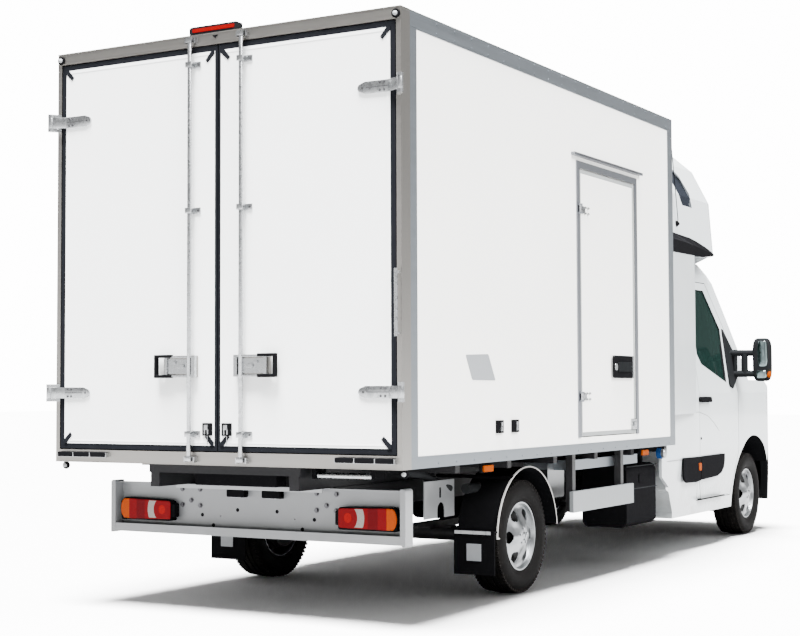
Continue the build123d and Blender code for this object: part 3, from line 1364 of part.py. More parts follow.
def cab_body():
    outer = cab_solid(0)
    inner = cab_solid(CAB_SKIN)
    skin = outer - inner
    half = CAB_HALF_WIDTH
    cabin = inner & block(
        (-half, half), (fore(FIREWALL_AFT), fore(CAB_REAR_AFT)), (CAB_FLOOR_HEIGHT, ROOF_HEIGHT)
    )
    cover = wheel_well(ARCH_RADIUS + CAB_SKIN, WELL_INSIDE - CAB_SKIN / 2)
    cabin -= cover + mirrored(cover)
    under_bonnet = cab_solid(BONNET_SKIN)
    bay = under_bonnet & block(
        (-BAY_HALF_WIDTH, BAY_HALF_WIDTH),
        (fore(-NOSE_AHEAD) + OVERRUN * 2, fore(FIREWALL_AFT) - CAB_SKIN),
        (0, COWL_HEIGHT),
    )
    tunnel = block(
        (-RAIL_PLACE - RAIL_WIDTH - FIT_GAP, RAIL_PLACE + RAIL_WIDTH + FIT_GAP),
        (fore(-FRONT_OVERHANG) + CAB_SKIN, fore(CAB_REAR_AFT) + OVERRUN),
        (0, RAIL_LOW + RAIL_TALL + FIT_GAP),
    )
    well = wheel_well(ARCH_RADIUS, WELL_INSIDE)
    doors = side_zone(door_outline(), DOOR_ZONE_IN, half + OVERRUN, DOOR_GAP)
    bumper_cut = block(
        (-half, half),
        (fore(-FRONT_OVERHANG) - OVERRUN, fore(-ARCH_RADIUS) + BUMPER_TUCK),
        (0, BUMPER_HIGH),
    )
    tunnel += block(
        (-SILL_INSIDE, SILL_INSIDE),
        (fore(ARCH_RADIUS + CAB_SKIN), fore(CAB_REAR_AFT) - CAB_SKIN),
        (0, RAIL_LOW + RAIL_TALL + FIT_GAP),
    )
    lamp = headlamp_zone()
    shell = outer - cabin - bay - tunnel
    shell -= well + mirrored(well)
    shell -= doors + mirrored(doors)
    shell -= bumper_cut
    shell -= bonnet_zone(FLARE_GAP)
    shell -= lamp + mirrored(lamp)
    shell -= grille_zone()
    shell -= screen_zone(0) & block(
        (-half, half), (fore(-FRONT_OVERHANG), fore(ROOF_BACK_AFT)), (SCREEN_LOW - OVERRUN, ROOF_HEIGHT)
    )
    shell -= across(
        [
            (fore(CAB_FOOT_AFT), 0),
            (fore(CAB_FOOT_AFT), SILL_HEIGHT),
            (fore(CAB_NOTCH_AFT), CAB_NOTCH_HEIGHT),
            (fore(CAB_REAR_AFT) + OVERRUN, CAB_NOTCH_HEIGHT + OVERRUN),
            (fore(CAB_REAR_AFT) + OVERRUN, 0),
        ],
        half,
    )
    keep("cab_shell", shell)

    screen = (cab_solid(GLASS_SET_IN) - cab_solid(GLASS_SET_IN + SCREEN_THICKNESS)) & screen_zone(0)
    keep("windscreen", screen)

    keep("bonnet", (outer - under_bonnet) & bonnet_zone(0))

    bumper = (outer - cab_solid(BUMPER_SKIN)) & bumper_cut
    bumper -= well + mirrored(well)
    bumper -= block(
        (-INTAKE_HALF_WIDTH, INTAKE_HALF_WIDTH),
        (fore(-FRONT_OVERHANG) - OVERRUN, fore(-NOSE_AHEAD)),
        (INTAKE_LOW, INTAKE_HIGH),
    )
    keep("front_bumper", bumper)

    lamps = (outer - cab_solid(HEADLAMP_DEPTH)) & lamp
    keep("headlamps", lamps, mirrored(lamps))

    panel = outer - cab_solid(GRILLE_DEPTH)
    nose_y = (fore(-FRONT_OVERHANG) - OVERRUN, FRONT_AXLE_Y)
    bars = []
    pitch = (GRILLE_HIGH - GRILLE_LOW - GRILLE_BAR) / (GRILLE_BARS - 1)
    for index in range(GRILLE_BARS):
        low = GRILLE_LOW + index * pitch
        bars.append(panel & grille_zone() & block((-half, half), nose_y, (low, low + GRILLE_BAR)))
    for index in range(GRILLE_POSTS):
        middle = -GRILLE_HALF_WIDTH + (index + 1) * 2 * GRILLE_HALF_WIDTH / (GRILLE_POSTS + 1)
        bars.append(
            (panel - cab_solid(GRILLE_BAR))
            & grille_zone()
            & block((middle - GRILLE_BAR / 2, middle + GRILLE_BAR / 2), nose_y, (GRILLE_LOW, GRILLE_HIGH))
        )
    keep("grille", *bars)
    cab_doors(outer, inner)


def cab_doors(outer, inner):
    half = CAB_HALF_WIDTH
    zone = side_zone(door_outline(), DOOR_ZONE_IN, half + OVERRUN)
    window = side_zone(window_outline(), DOOR_ZONE_IN - OVERRUN, half + OVERRUN)
    panel = ((outer - inner) & zone) - window
    glass = (cab_solid(GLASS_SET_IN) - cab_solid(GLASS_SET_IN + GLASS_THICKNESS)) & window & zone
    low = MOULDING_LOW
    moulding = block(
        (half - CAB_SKIN / 2, half + MOULDING_PROUD),
        (fore(DOOR_REAR_AFT) - MOULDING_LENGTH, fore(DOOR_REAR_AFT)),
        (low, low + MOULDING_TALL),
    ) - outer
    handle = block(
        (half - CAB_SKIN / 2, half + HANDLE_PROUD),
        (fore(DOOR_REAR_AFT) - HANDLE_INSET - HANDLE_WIDTH, fore(DOOR_REAR_AFT) - HANDLE_INSET),
        (DOOR_HANDLE_HEIGHT - HANDLE_TALL / 2, DOOR_HANDLE_HEIGHT + HANDLE_TALL / 2),
    ) - outer
    sail = side_zone(
        [
            (fore(WINDOW_FRONT_AFT), WINDOW_FRONT_LOW - WINDOW_MARGIN / 2),
            (fore(WINDOW_FRONT_AFT - SAIL_LENGTH), WAIST_HEIGHT + WINDOW_MARGIN / 2),
            (fore(WINDOW_PILLAR_AFT), WINDOW_PILLAR_HEIGHT - WINDOW_MARGIN / 2),
        ],
        half - CAB_SKIN * 2,
        half + MOULDING_PROUD,
    )
    sail = (sail & grown_side(MOULDING_PROUD)) - outer
    hinge_y = fore(DOOR_HINGE_AFT)
    head_x = half - DOOR_HINGE_SET_IN + MIRROR_OUT
    head_y = hinge_y - MIRROR_AHEAD
    head = upright(
        [
            (head_x - MIRROR_HEAD_WIDTH / 2, head_y - MIRROR_HEAD_DEPTH / 2),
            (head_x + MIRROR_HEAD_WIDTH / 2, head_y - MIRROR_HEAD_DEPTH / 4),
            (head_x + MIRROR_HEAD_WIDTH / 2, head_y + MIRROR_HEAD_DEPTH / 2),
            (head_x - MIRROR_HEAD_WIDTH / 2, head_y + MIRROR_HEAD_DEPTH / 2),
        ],
        MIRROR_HEAD_LOW,
        MIRROR_HEAD_LOW + MIRROR_HEAD_TALL,
        MIRROR_HEAD_DEPTH / 5,
    )
    arms = Part()
    for height in MIRROR_ARM_HEIGHTS:
        arms += rod(
            (MIRROR_ROOT_X, hinge_y + MIRROR_ROOT_AFT, height), (head_x, head_y, height), MIRROR_ARM_RADIUS
        )
    mirror_piece = (arms - outer) + head
    trim = (moulding, handle, sail + mirror_piece)
    for name, side in SIDES:
        keep(f"cab_door_{name}_panel", sided(panel, side))
        keep(f"cab_door_{name}_glass", sided(glass, side))
        keep(f"cab_door_{name}_trim", *[sided(piece, side) for piece in trim])


def grown_side(proud):
    """The upper side of the cab moved out by a trim's thickness, for what lies on it."""
    run = (CAB_HALF_WIDTH - GUTTER_LINE_HALF_WIDTH) / (GUTTER_LINE_HEIGHT - WAIST_HEIGHT)
    low = WAIST_HEIGHT - OVERRUN
    outline = [
        (0, low),
        (CAB_HALF_WIDTH + proud, low),
        (CAB_HALF_WIDTH + proud, WAIST_HEIGHT),
        (CAB_HALF_WIDTH + proud - run * (ROOF_HEIGHT - WAIST_HEIGHT), ROOF_HEIGHT),
        (0, ROOF_HEIGHT),
    ]
    return lengthwise(outline, fore(-FRONT_OVERHANG), fore(CAB_REAR_AFT))


# Sleeping pod and fairings

def pod_section(height, half, corner_aft, inset):
    rear_y = fore(POD_REAR_AFT) - inset
    corner_y = fore(corner_aft) + inset
    half -= inset
    bow = POD_NOSE_BULGE * half / POD_HALF_WIDTH
    outline = Polyline((-half, corner_y), (-half, rear_y), (half, rear_y), (half, corner_y))
    outline += ThreePointArc((half, corner_y), (0, corner_y - bow), (-half, corner_y))
    face = make_face(outline)
    face = fillet(face.vertices().sort_by(Axis.Y)[:2], POD_CORNER_ROUND)
    return Pos(0, 0, height) * face


def pod_solid(inset):
    sections = []
    for height_share, width_share, corner_aft in POD_SECTION_SHARES:
        height = POD_BASE + height_share * (POD_TOP - POD_BASE)
        low = inset * (1 - 2 * height_share)
        half = width_share * POD_HALF_WIDTH
        sections.append(pod_section(height + low, half, corner_aft * POD_CORNER_AFT, inset))
    return loft(sections, ruled=True)


def pod_window_zone():
    rear = fore(POD_REAR_AFT) - POD_WINDOW_MARGIN
    front = fore(POD_WINDOW_AFT)
    width = rear - front
    tall = POD_WINDOW_HIGH - POD_WINDOW_LOW
    outline = [(rear - y * width, POD_WINDOW_LOW + z * tall) for y, z in POD_WINDOW_SHARES]
    return side_zone(outline, POD_HALF_WIDTH / 2, POD_HALF_WIDTH + OVERRUN)


def sleeper():
    outer = pod_solid(0)
    window = pod_window_zone()
    shell = outer - pod_solid(POD_SKIN) - window - mirrored(window)
    low = pod_section(POD_SKIRT_LOW, GUTTER_LINE_HALF_WIDTH, POD_SKIRT_AFT, 0)
    skirt = loft([low, pod_section(POD_BASE, POD_HALF_WIDTH, POD_CORNER_AFT, 0)])
    skirt -= cab_solid(0)
    skirt &= block(
        (-POD_HALF_WIDTH, POD_HALF_WIDTH),
        (fore(-FRONT_OVERHANG), fore(ROOF_BACK_AFT)),
        (POD_SKIRT_LOW, POD_BASE),
    )
    keep("sleeper_pod", shell + skirt)
    pane = (outer - pod_solid(SCREEN_THICKNESS)) & window
    keep("pod_windows", pane, mirrored(pane))
    rear_y = BOX_FRONT_Y - RAIL_SHEET
    front_y = fore(FAIRING_FRONT_AFT)
    fairing = upright(
        [
            (HALF_BOX, rear_y),
            (HALF_BOX - FAIRING_SHEET, rear_y),
            (CAB_HALF_WIDTH + FIT_GAP, front_y),
            (CAB_HALF_WIDTH + FAIRING_SHEET, front_y),
        ],
        FAIRING_LOW,
        POD_BASE,
    )
    lower = side_zone(
        [
            (fore(CAB_REAR_AFT) + FIT_GAP, CAB_NOTCH_HEIGHT + OVERRUN),
            (fore(CAB_SIDE_AFT), CAB_NOTCH_HEIGHT + 3 * OVERRUN),
            (fore(CAB_SIDE_AFT), FAIRING_LOW),
            (fore(CAB_REAR_AFT) + FIT_GAP, FAIRING_LOW),
        ],
        CAB_HALF_WIDTH - FAIRING_SHEET,
        CAB_HALF_WIDTH,
    )
    keep("side_fairings", fairing, mirrored(fairing), lower, mirrored(lower))


# Cab inside

def cab_inside():
    floor = CAB_FLOOR_HEIGHT
    seats = []
    stands = []
    for place in SEAT_PLACES:
        span = (place - SEAT_WIDTH / 2 + SWING_GAP, place + SEAT_WIDTH / 2 - SWING_GAP)
        front_y = fore(SEAT_AFT)
        cushion = block(span, (front_y, front_y + SEAT_DEPTH), (SEAT_HEIGHT - SEAT_THICK, SEAT_HEIGHT))
        back = block(
            span,
            (front_y + SEAT_DEPTH + FIT_GAP, front_y + SEAT_DEPTH + FIT_GAP + SEAT_BACK_THICK),
            (SEAT_HEIGHT - SEAT_THICK, SEAT_HEIGHT + SEAT_BACK_TALL),
        )
        seats += [cushion, back]
        stands.append(
            block(
                (span[0] + OVERRUN, span[1] - OVERRUN),
                (front_y + OVERRUN, front_y + SEAT_DEPTH + SEAT_BACK_THICK),
                (floor, SEAT_HEIGHT - SEAT_THICK - FIT_GAP),
            )
        )
    keep("seats", *seats)
    nodes["cab_shell"] = nodes["cab_shell"] + stands
    dash_y = fore(FIREWALL_AFT)
    dash = across(
        [
            (dash_y, DASH_HEIGHT - DASH_TALL),
            (dash_y + DASH_DEPTH / 2, DASH_HEIGHT - DASH_TALL),
            (dash_y + DASH_DEPTH, DASH_HEIGHT - DASH_TALL / 3),
            (dash_y + DASH_DEPTH / 2, DASH_HEIGHT),
            (dash_y, DASH_HEIGHT),
        ],
        DASH_HALF_WIDTH,
    )
    keep("dashboard", dash & cab_solid(CAB_SKIN))
    ring_face = RegularPolygon(STEERING_RADIUS, STEERING_SIDES)
    ring_face -= RegularPolygon(STEERING_RADIUS - 2 * STEERING_ROD, STEERING_SIDES)
    ring = Pos(STEERING_PLACE, fore(STEERING_AFT), STEERING_HEIGHT) * Rot(-STEERING_TILT, 0, 0) * (
        pull(ring_face, (0, 0, STEERING_ROD))
        + Cylinder(STEERING_ROD * 2, STEERING_ROD * 2)
        + Box(2 * (STEERING_RADIUS - STEERING_ROD), STEERING_ROD * 2, STEERING_ROD)
        + Pos(0, 0, -STEERING_COLUMN / 2) * Cylinder(STEERING_ROD, STEERING_COLUMN)
    )
    keep("steering_wheel", ring - dash)
    front_y = fore(-ENGINE_AHEAD)
    engine = block(
        (-ENGINE_WIDTH / 2, ENGINE_WIDTH / 2),
        (front_y, front_y + ENGINE_LENGTH),
        (ENGINE_LOW, ENGINE_LOW + ENGINE_TALL),
    )
    rail_top = RAIL_LOW + RAIL_TALL
    mount_x = RAIL_PLACE + RAIL_WIDTH / 2
    engine += block(
        (-mount_x, mount_x),
        (front_y + ENGINE_LENGTH / 3, front_y + ENGINE_LENGTH * 2 / 3),
        (rail_top, rail_top + CROSS_TALL),
    )
    keep("engine_block", engine)


for build in (
    box_panels,
    edge_rails,
    rear_frame,
    rear_fittings,
    rear_doors,
    side_door,
    side_door_surround,
    chassis,
    rear_axle,
    wheels,
    knuckles,
    lamp_beam,
    marker_lamps,
    mudguards,
    side_guards,
    step_and_boxes,
    cab_body,
    sleeper,
    cab_inside,
):
    build()

for name, shape in nodes.items():
    shape.label = name
    export_step(shape, f"parts/{name}.step")
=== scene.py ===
from functools import partialmethod
from math import cos, hypot, pi, radians, sin, sqrt

import bmesh
import bpy
from mathutils import Matrix, Vector


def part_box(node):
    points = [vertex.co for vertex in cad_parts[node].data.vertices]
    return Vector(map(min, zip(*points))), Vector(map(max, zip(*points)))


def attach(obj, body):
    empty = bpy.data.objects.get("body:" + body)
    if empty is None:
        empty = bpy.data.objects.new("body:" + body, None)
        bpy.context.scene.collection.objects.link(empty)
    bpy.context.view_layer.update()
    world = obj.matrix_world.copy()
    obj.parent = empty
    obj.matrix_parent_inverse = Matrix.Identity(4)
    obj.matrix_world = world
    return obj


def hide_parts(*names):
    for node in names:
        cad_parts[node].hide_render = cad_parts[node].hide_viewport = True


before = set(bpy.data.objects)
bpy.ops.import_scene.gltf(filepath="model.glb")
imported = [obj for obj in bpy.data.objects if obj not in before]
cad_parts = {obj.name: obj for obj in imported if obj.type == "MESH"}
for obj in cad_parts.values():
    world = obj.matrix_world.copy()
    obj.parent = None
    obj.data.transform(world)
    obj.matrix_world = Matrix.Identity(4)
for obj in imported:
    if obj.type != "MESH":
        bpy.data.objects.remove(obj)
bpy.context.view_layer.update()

# Places read from the model. The truck faces -Y, and its right side is -X.
SIDES = (("left", 1), ("right", -1))
ENDS = ("front", "rear")
AHEAD, BACK, RIGHT = (0, -1, 0), (0, 1, 0), (-1, 0, 0)
beam_low, beam_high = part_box("lamp_beam")
TAIL_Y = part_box("rear_door_frame")[1].y
WALL_X = -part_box("box_right_wall")[0].x
HUBS = {(end, name): sum(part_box(f"{end}_{name}_tyre"), Vector()) / 2 for end in ENDS for name, _ in SIDES}
REAR_Y = HUBS["rear", "left"].y
FRONT_Y = HUBS["front", "left"].y
AXLE_Z = HUBS["rear", "left"].z


# Shader maths

class Field:
    """A value that changes over a surface, on which sums are written as on a number."""

    def __init__(self, finish, socket):
        self.finish = finish
        self.socket = socket

    def maths(self, operation, *others):
        return self.finish.node("ShaderNodeMath", dict(enumerate((self, *others))), operation=operation)

    def __rsub__(self, other):
        return self.finish.node("ShaderNodeMath", {0: other, 1: self}, operation="SUBTRACT")

    __add__ = partialmethod(maths, "ADD")
    __sub__ = partialmethod(maths, "SUBTRACT")
    __mul__ = partialmethod(maths, "MULTIPLY")
    __truediv__ = partialmethod(maths, "DIVIDE")
    __gt__ = partialmethod(maths, "GREATER_THAN")
    __lt__ = partialmethod(maths, "LESS_THAN")
    __abs__ = partialmethod(maths, "ABSOLUTE")
    __pow__ = partialmethod(maths, "POWER")
    sine = partialmethod(maths, "SINE")


class Finish:
    """One material on Blender's Principled shader, with its constants set on the shader itself."""

    def __init__(self, name, colour, roughness=0.5, metallic=0.0, **constants):
        self.material = bpy.data.materials.new(name)
        self.material.use_nodes = True
        self.nodes = self.material.node_tree.nodes
        self.links = self.material.node_tree.links
        self.shader = self.nodes["Principled BSDF"]
        self.put("Base Color", (*colour, 1))
        self.put("Roughness", roughness)
        self.put("Metallic", metallic)
        for socket, value in constants.items():
            self.put(socket.replace("_", " ").title().replace("Ior", "IOR"), value)
        self.material.diffuse_color = (*colour, 1)

    def put(self, socket, value):
        if isinstance(value, Field):
            self.links.new(value.socket, self.shader.inputs[socket])
        else:
            self.shader.inputs[socket].default_value = value

    def node(self, kind, values=None, output=0, **settings):
        made = self.nodes.new(kind)
        for key, value in settings.items():
            setattr(made, key, value)
        for key, value in (values or {}).items():
            if isinstance(value, Field):
                self.links.new(value.socket, made.inputs[key])
            else:
                made.inputs[key].default_value = value
        return Field(self, made.outputs[output])

    def place(self, stretch=(1, 1, 1)):
        """Object coordinates, stretched for grain that runs one way."""
        at = self.node("ShaderNodeTexCoord", output="Object")
        if stretch == (1, 1, 1):
            return at
        return self.node("ShaderNodeMapping", {"Vector": at, "Scale": stretch})

    def axis(self, letter):
        return self.node("ShaderNodeSeparateXYZ", {0: self.place()}, output=letter)

    def noise(self, scale, detail=3.0, stretch=(1, 1, 1)):
        values = {"Vector": self.place(stretch), "Scale": scale, "Detail": detail, "Roughness": 0.55}
        return self.node("ShaderNodeTexNoise", values)

    def cells(self, scale, feature="F1"):
        return self.node("ShaderNodeTexVoronoi", {"Vector": self.place(), "Scale": scale}, feature=feature)

    def span(self, value, low, high, to_low=0.0, to_high=1.0):
        """A value carried from one span to another, held at the ends."""
        return self.node("ShaderNodeMapRange", {0: value, 1: low, 2: high, 3: to_low, 4: to_high})

    def blend(self, mask, first, second):
        first = first if isinstance(first, Field) else (*first, 1)
        second = second if isinstance(second, Field) else (*second, 1)
        return self.node("ShaderNodeMix", {0: mask, 6: first, 7: second}, output=2, data_type="RGBA")

    def paint(self, mask, first, second):
        """Base colour that goes from the first to the second as the mask rises."""
        self.put("Base Color", self.blend(mask, first, second))

    def bump(self, height, distance, strength=1.0):
        values = {"Height": height, "Distance": distance, "Strength": strength}
        self.put("Normal", self.node("ShaderNodeBump", values))


def tint(colour, factor):
    return tuple(min(1, value * factor) for value in colour)


# Finishes

ROAD_DUST = (0.42, 0.39, 0.35)


def sprayed(name, colour, roughness=0.22, grime=0.35, coat=0.5, shine=0.5):
    """Gloss coachwork paint with a faint orange peel and road dust low down."""
    made = Finish(name, colour, roughness, coat_weight=coat, coat_roughness=0.06, specular_ior_level=shine)
    soft = made.noise(2.2, 2)
    dust = made.span(made.axis("Z"), 0.25, 0.75, grime, 0.0) * made.span(made.noise(9, 5), 0.35, 0.7)
    clean = made.blend(made.span(soft, 0.3, 0.7), tint(colour, 0.985), tint(colour, 1.012))
    made.paint(dust, clean, tint(ROAD_DUST, sum(colour) / 3))
    made.put("Roughness", made.span(soft, 0.3, 0.7, roughness - 0.03, roughness + 0.05) + dust * 0.4)
    made.bump(made.noise(420, 2), 0.00012, 0.35)
    return made.material


def laminate(name, colour, roughness=0.34):
    """Smooth glass-fibre panel skin: slow waves, a fine texture and a breath of dust."""
    made = Finish(name, colour, roughness, coat_weight=0.25, coat_roughness=0.2)
    waves = made.noise(1.1, 2)
    specks = made.span(made.cells(240), 0.0, 0.5)
    shade = made.blend(made.span(waves, 0.3, 0.7), tint(colour, 0.982), tint(colour, 1.01))
    low = made.span(made.axis("Z"), 0.85, 1.15, 0.22, 0.0) * made.span(made.noise(14, 5), 0.4, 0.75)
    made.paint(low, shade, tint(colour, 0.72))
    made.put("Roughness", made.span(waves, 0.3, 0.7, roughness - 0.04, roughness + 0.05))
    made.bump(waves * 0.6 + specks * 0.02, 0.0035, 0.5)
    return made.material


def drawn_metal(name, colour, roughness, stretch=(1, 1, 1), depth=0.00004, contrast=0.03):
    """Rolled or drawn metal, its grain running along the axis with the small stretch."""
    made = Finish(name, colour, roughness, 1.0)
    grain = made.noise(90, 4, stretch)
    patches = made.noise(6, 3)
    shade = made.blend(made.span(grain, 0.3, 0.7), tint(colour, 1 - contrast), tint(colour, 1 + contrast))
    made.paint(made.span(patches, 0.35, 0.8, 0, 0.2), shade, tint(colour, 0.88))
    made.put("Roughness", made.span(grain, 0.3, 0.7, roughness - 0.02, roughness + 0.03))
    made.bump(grain, depth, 0.3)
    return made.material


def plated(name, colour=(0.40, 0.41, 0.42), roughness=0.2):
    """Bright plating with faint water marks and handling wear."""
    made = Finish(name, colour, roughness, 1.0)
    marks = made.noise(38, 5)
    made.paint(made.span(marks, 0.45, 0.75), colour, tint(colour, 0.72))
    made.put("Roughness", made.span(marks, 0.3, 0.8, roughness, roughness + 0.2))
    made.bump(made.noise(160, 2), 0.00006, 0.4)
    return made.material


def grained(name, colour, roughness=0.55, grain=900):
    """Moulded plastic or rubber with a leathery grain, greyed where dust settles."""
    made = Finish(name, colour, roughness, specular_ior_level=0.006)
    dust = made.span(made.noise(11, 5), 0.45, 0.8, 0, 0.3)
    made.paint(dust, colour, tuple(value * 1.5 + 0.002 for value in colour))
    worn = made.span(made.noise(60, 2), 0.3, 0.7, roughness - 0.05, roughness + 0.05)
    made.put("Roughness", dust * 0.3 + worn)
    made.bump(made.cells(grain), 0.00008, 0.6)
    return made.material


def tinted_glass(name, colour, see_through, roughness=0.02):
    """Coloured glass with a thin film of dust."""
    made = Finish(name, colour, roughness, ior=1.08, transmission_weight=see_through, specular_ior_level=0.3)
    film = made.span(made.noise(5, 4), 0.5, 0.85, 0, 0.06)
    made.put("Roughness", film * 0.5 + roughness)
    clouds = made.span(made.noise(3, 2), 0.3, 0.7)
    made.paint(clouds, tint(colour, 0.95), tint(colour, 1.05))
    return made.material


def moulded_lens(name, colour, scale=260):
    """A coloured lamp lens with small prisms moulded behind its face."""
    made = Finish(name, colour, 0.2, ior=1.15, specular_ior_level=0.04)
    prisms = made.cells(scale, "DISTANCE_TO_EDGE")
    made.paint(made.span(prisms, 0.0, 0.35), tint(colour, 0.6), tint(colour, 1.1))
    made.bump(prisms, 0.0004, 0.4)
    return made.material


def tail_lens(name, side):
    """The rear lamp's fields from its outer end inwards: amber, red, a white crescent, a round red lamp."""
    made = Finish(name, (0.10, 0.002, 0.004), 0.2, specular_ior_level=0.04)
    along = (made.axis("X") - side * LAMP_MIDDLE) * side / LAMP_HALF
    up = (made.axis("Z") - LAMP_Z) / LAMP_HALF
    bulb = ((along + 0.667) * (along + 0.667) + up * up * 0.8) ** 0.5
    crescent = (bulb < 0.57) * (bulb > 0.33) * (along > -0.62) * (abs(up) < 0.27)
    plain = (along > 0.02) * (along < 0.36)
    red = made.blend(plain, (0.135, 0.001, 0.003), (0.085, 0.001, 0.003))
    shown = made.blend(along > 0.66, red, (0.30, 0.040, 0.0))
    shown = made.blend(crescent, shown, (0.24, 0.22, 0.20))
    shown = made.blend(bulb < 0.13, shown, (0.24, 0.002, 0.002))
    prisms = made.cells(150, "DISTANCE_TO_EDGE")
    made.paint(made.span(prisms, 0.0, 0.2, 0.3, 0.0), shown, (0.03, 0.002, 0.002))
    made.bump(prisms, 0.0006, 0.4)
    return made.material


def headlamp_lens(name):
    """A clear front lens over a dark case with two bright bowls and an amber corner."""
    made = Finish(name, (0.03, 0.03, 0.03), 0.2, ior=1.2, specular_ior_level=0.1)
    x = abs(made.axis("X"))
    z = made.axis("Z")
    shown = made.blend(made.span(x, 0.58, 0.98), (0.022, 0.023, 0.025), (0.008, 0.0085, 0.009))
    for middle_x, middle_z, bowl in ((0.700, 0.905, 0.068), (0.835, 0.925, 0.054)):
        away = ((x - middle_x) * (x - middle_x) + (z - middle_z) * (z - middle_z)) ** 0.5
        shown = made.blend(away < bowl, shown, (0.34, 0.35, 0.36))
        shown = made.blend((away < bowl * 0.84) * (away > bowl * 0.72), shown, (0.08, 0.085, 0.09))
        shown = made.blend(away < bowl * 0.42, shown, (0.14, 0.15, 0.16))
        shown = made.blend(away < bowl * 0.22, shown, (0.50, 0.51, 0.52))
    shown = made.blend((x > 0.905) * (z > 0.90), shown, (0.26, 0.055, 0.004))
    made.put("Base Color", shown)
    made.bump(made.cells(90, "DISTANCE_TO_EDGE"), 0.0003, 0.2)
    return made.material


def guard_metal(name):
    """The side guard's plain rail, with its posts behind it in black."""
    made = Finish(name, (0.11, 0.12, 0.125), 0.45, specular_ior_level=0.3)
    behind = abs(made.axis("X")) < GUARD_POST_FACE
    dust = made.span(made.noise(14, 4), 0.4, 0.8, 0, 0.25)
    rail = made.blend(dust, (0.150, 0.160, 0.166), (0.125, 0.130, 0.130))
    made.paint(behind, rail, (0.010, 0.010, 0.011))
    made.bump(made.noise(300, 2), 0.00004, 0.2)
    return made.material


def tyre_rubber(name, axle_y):
    """Tyre rubber with fine rings round its sidewall and a dusty tread."""
    made = Finish(name, (0.004, 0.004, 0.004), 0.75, ior=1.25, specular_ior_level=0.1)
    y = made.axis("Y") - axle_y
    z = made.axis("Z") - AXLE_Z
    radius = (y * y + z * z) ** 0.5
    rings = (radius * 900).sine()
    dust = made.span(radius, 0.29, 0.34, 0.05, 0.65) * made.span(made.noise(22, 5), 0.35, 0.75)
    made.paint(dust, (0.0038, 0.0036, 0.0036), (0.013, 0.0115, 0.010))
    made.put("Roughness", made.span(radius, 0.29, 0.34, 0.62, 0.85))
    made.bump(rings * 0.25 + made.noise(260, 2), 0.0005, 0.5)
    return made.material


def woven(name, colour, pitch=2600):
    """Plain-weave seat cloth: threads over and under in two directions."""
    made = Finish(name, colour, 0.9, sheen_weight=0.4, sheen_roughness=0.5)
    warp = (made.axis("X") * pitch).sine()
    weft = ((made.axis("Y") + made.axis("Z")) * pitch).sine()
    threads = warp * weft
    made.paint(made.span(threads, -1, 1), tint(colour, 0.7), tint(colour, 1.35))
    made.bump(threads, 0.0004, 0.7)
    return made.material


def checker_steel(name):
    """Bright tread strip with punched studs."""
    made = Finish(name, (0.6, 0.61, 0.62), 0.28, 1.0)
    studs = made.cells(70)
    made.paint(made.span(studs, 0.1, 0.4), (0.34, 0.345, 0.35), (0.12, 0.125, 0.13))
    made.bump(1 - studs, 0.002, 0.7)
    return made.material


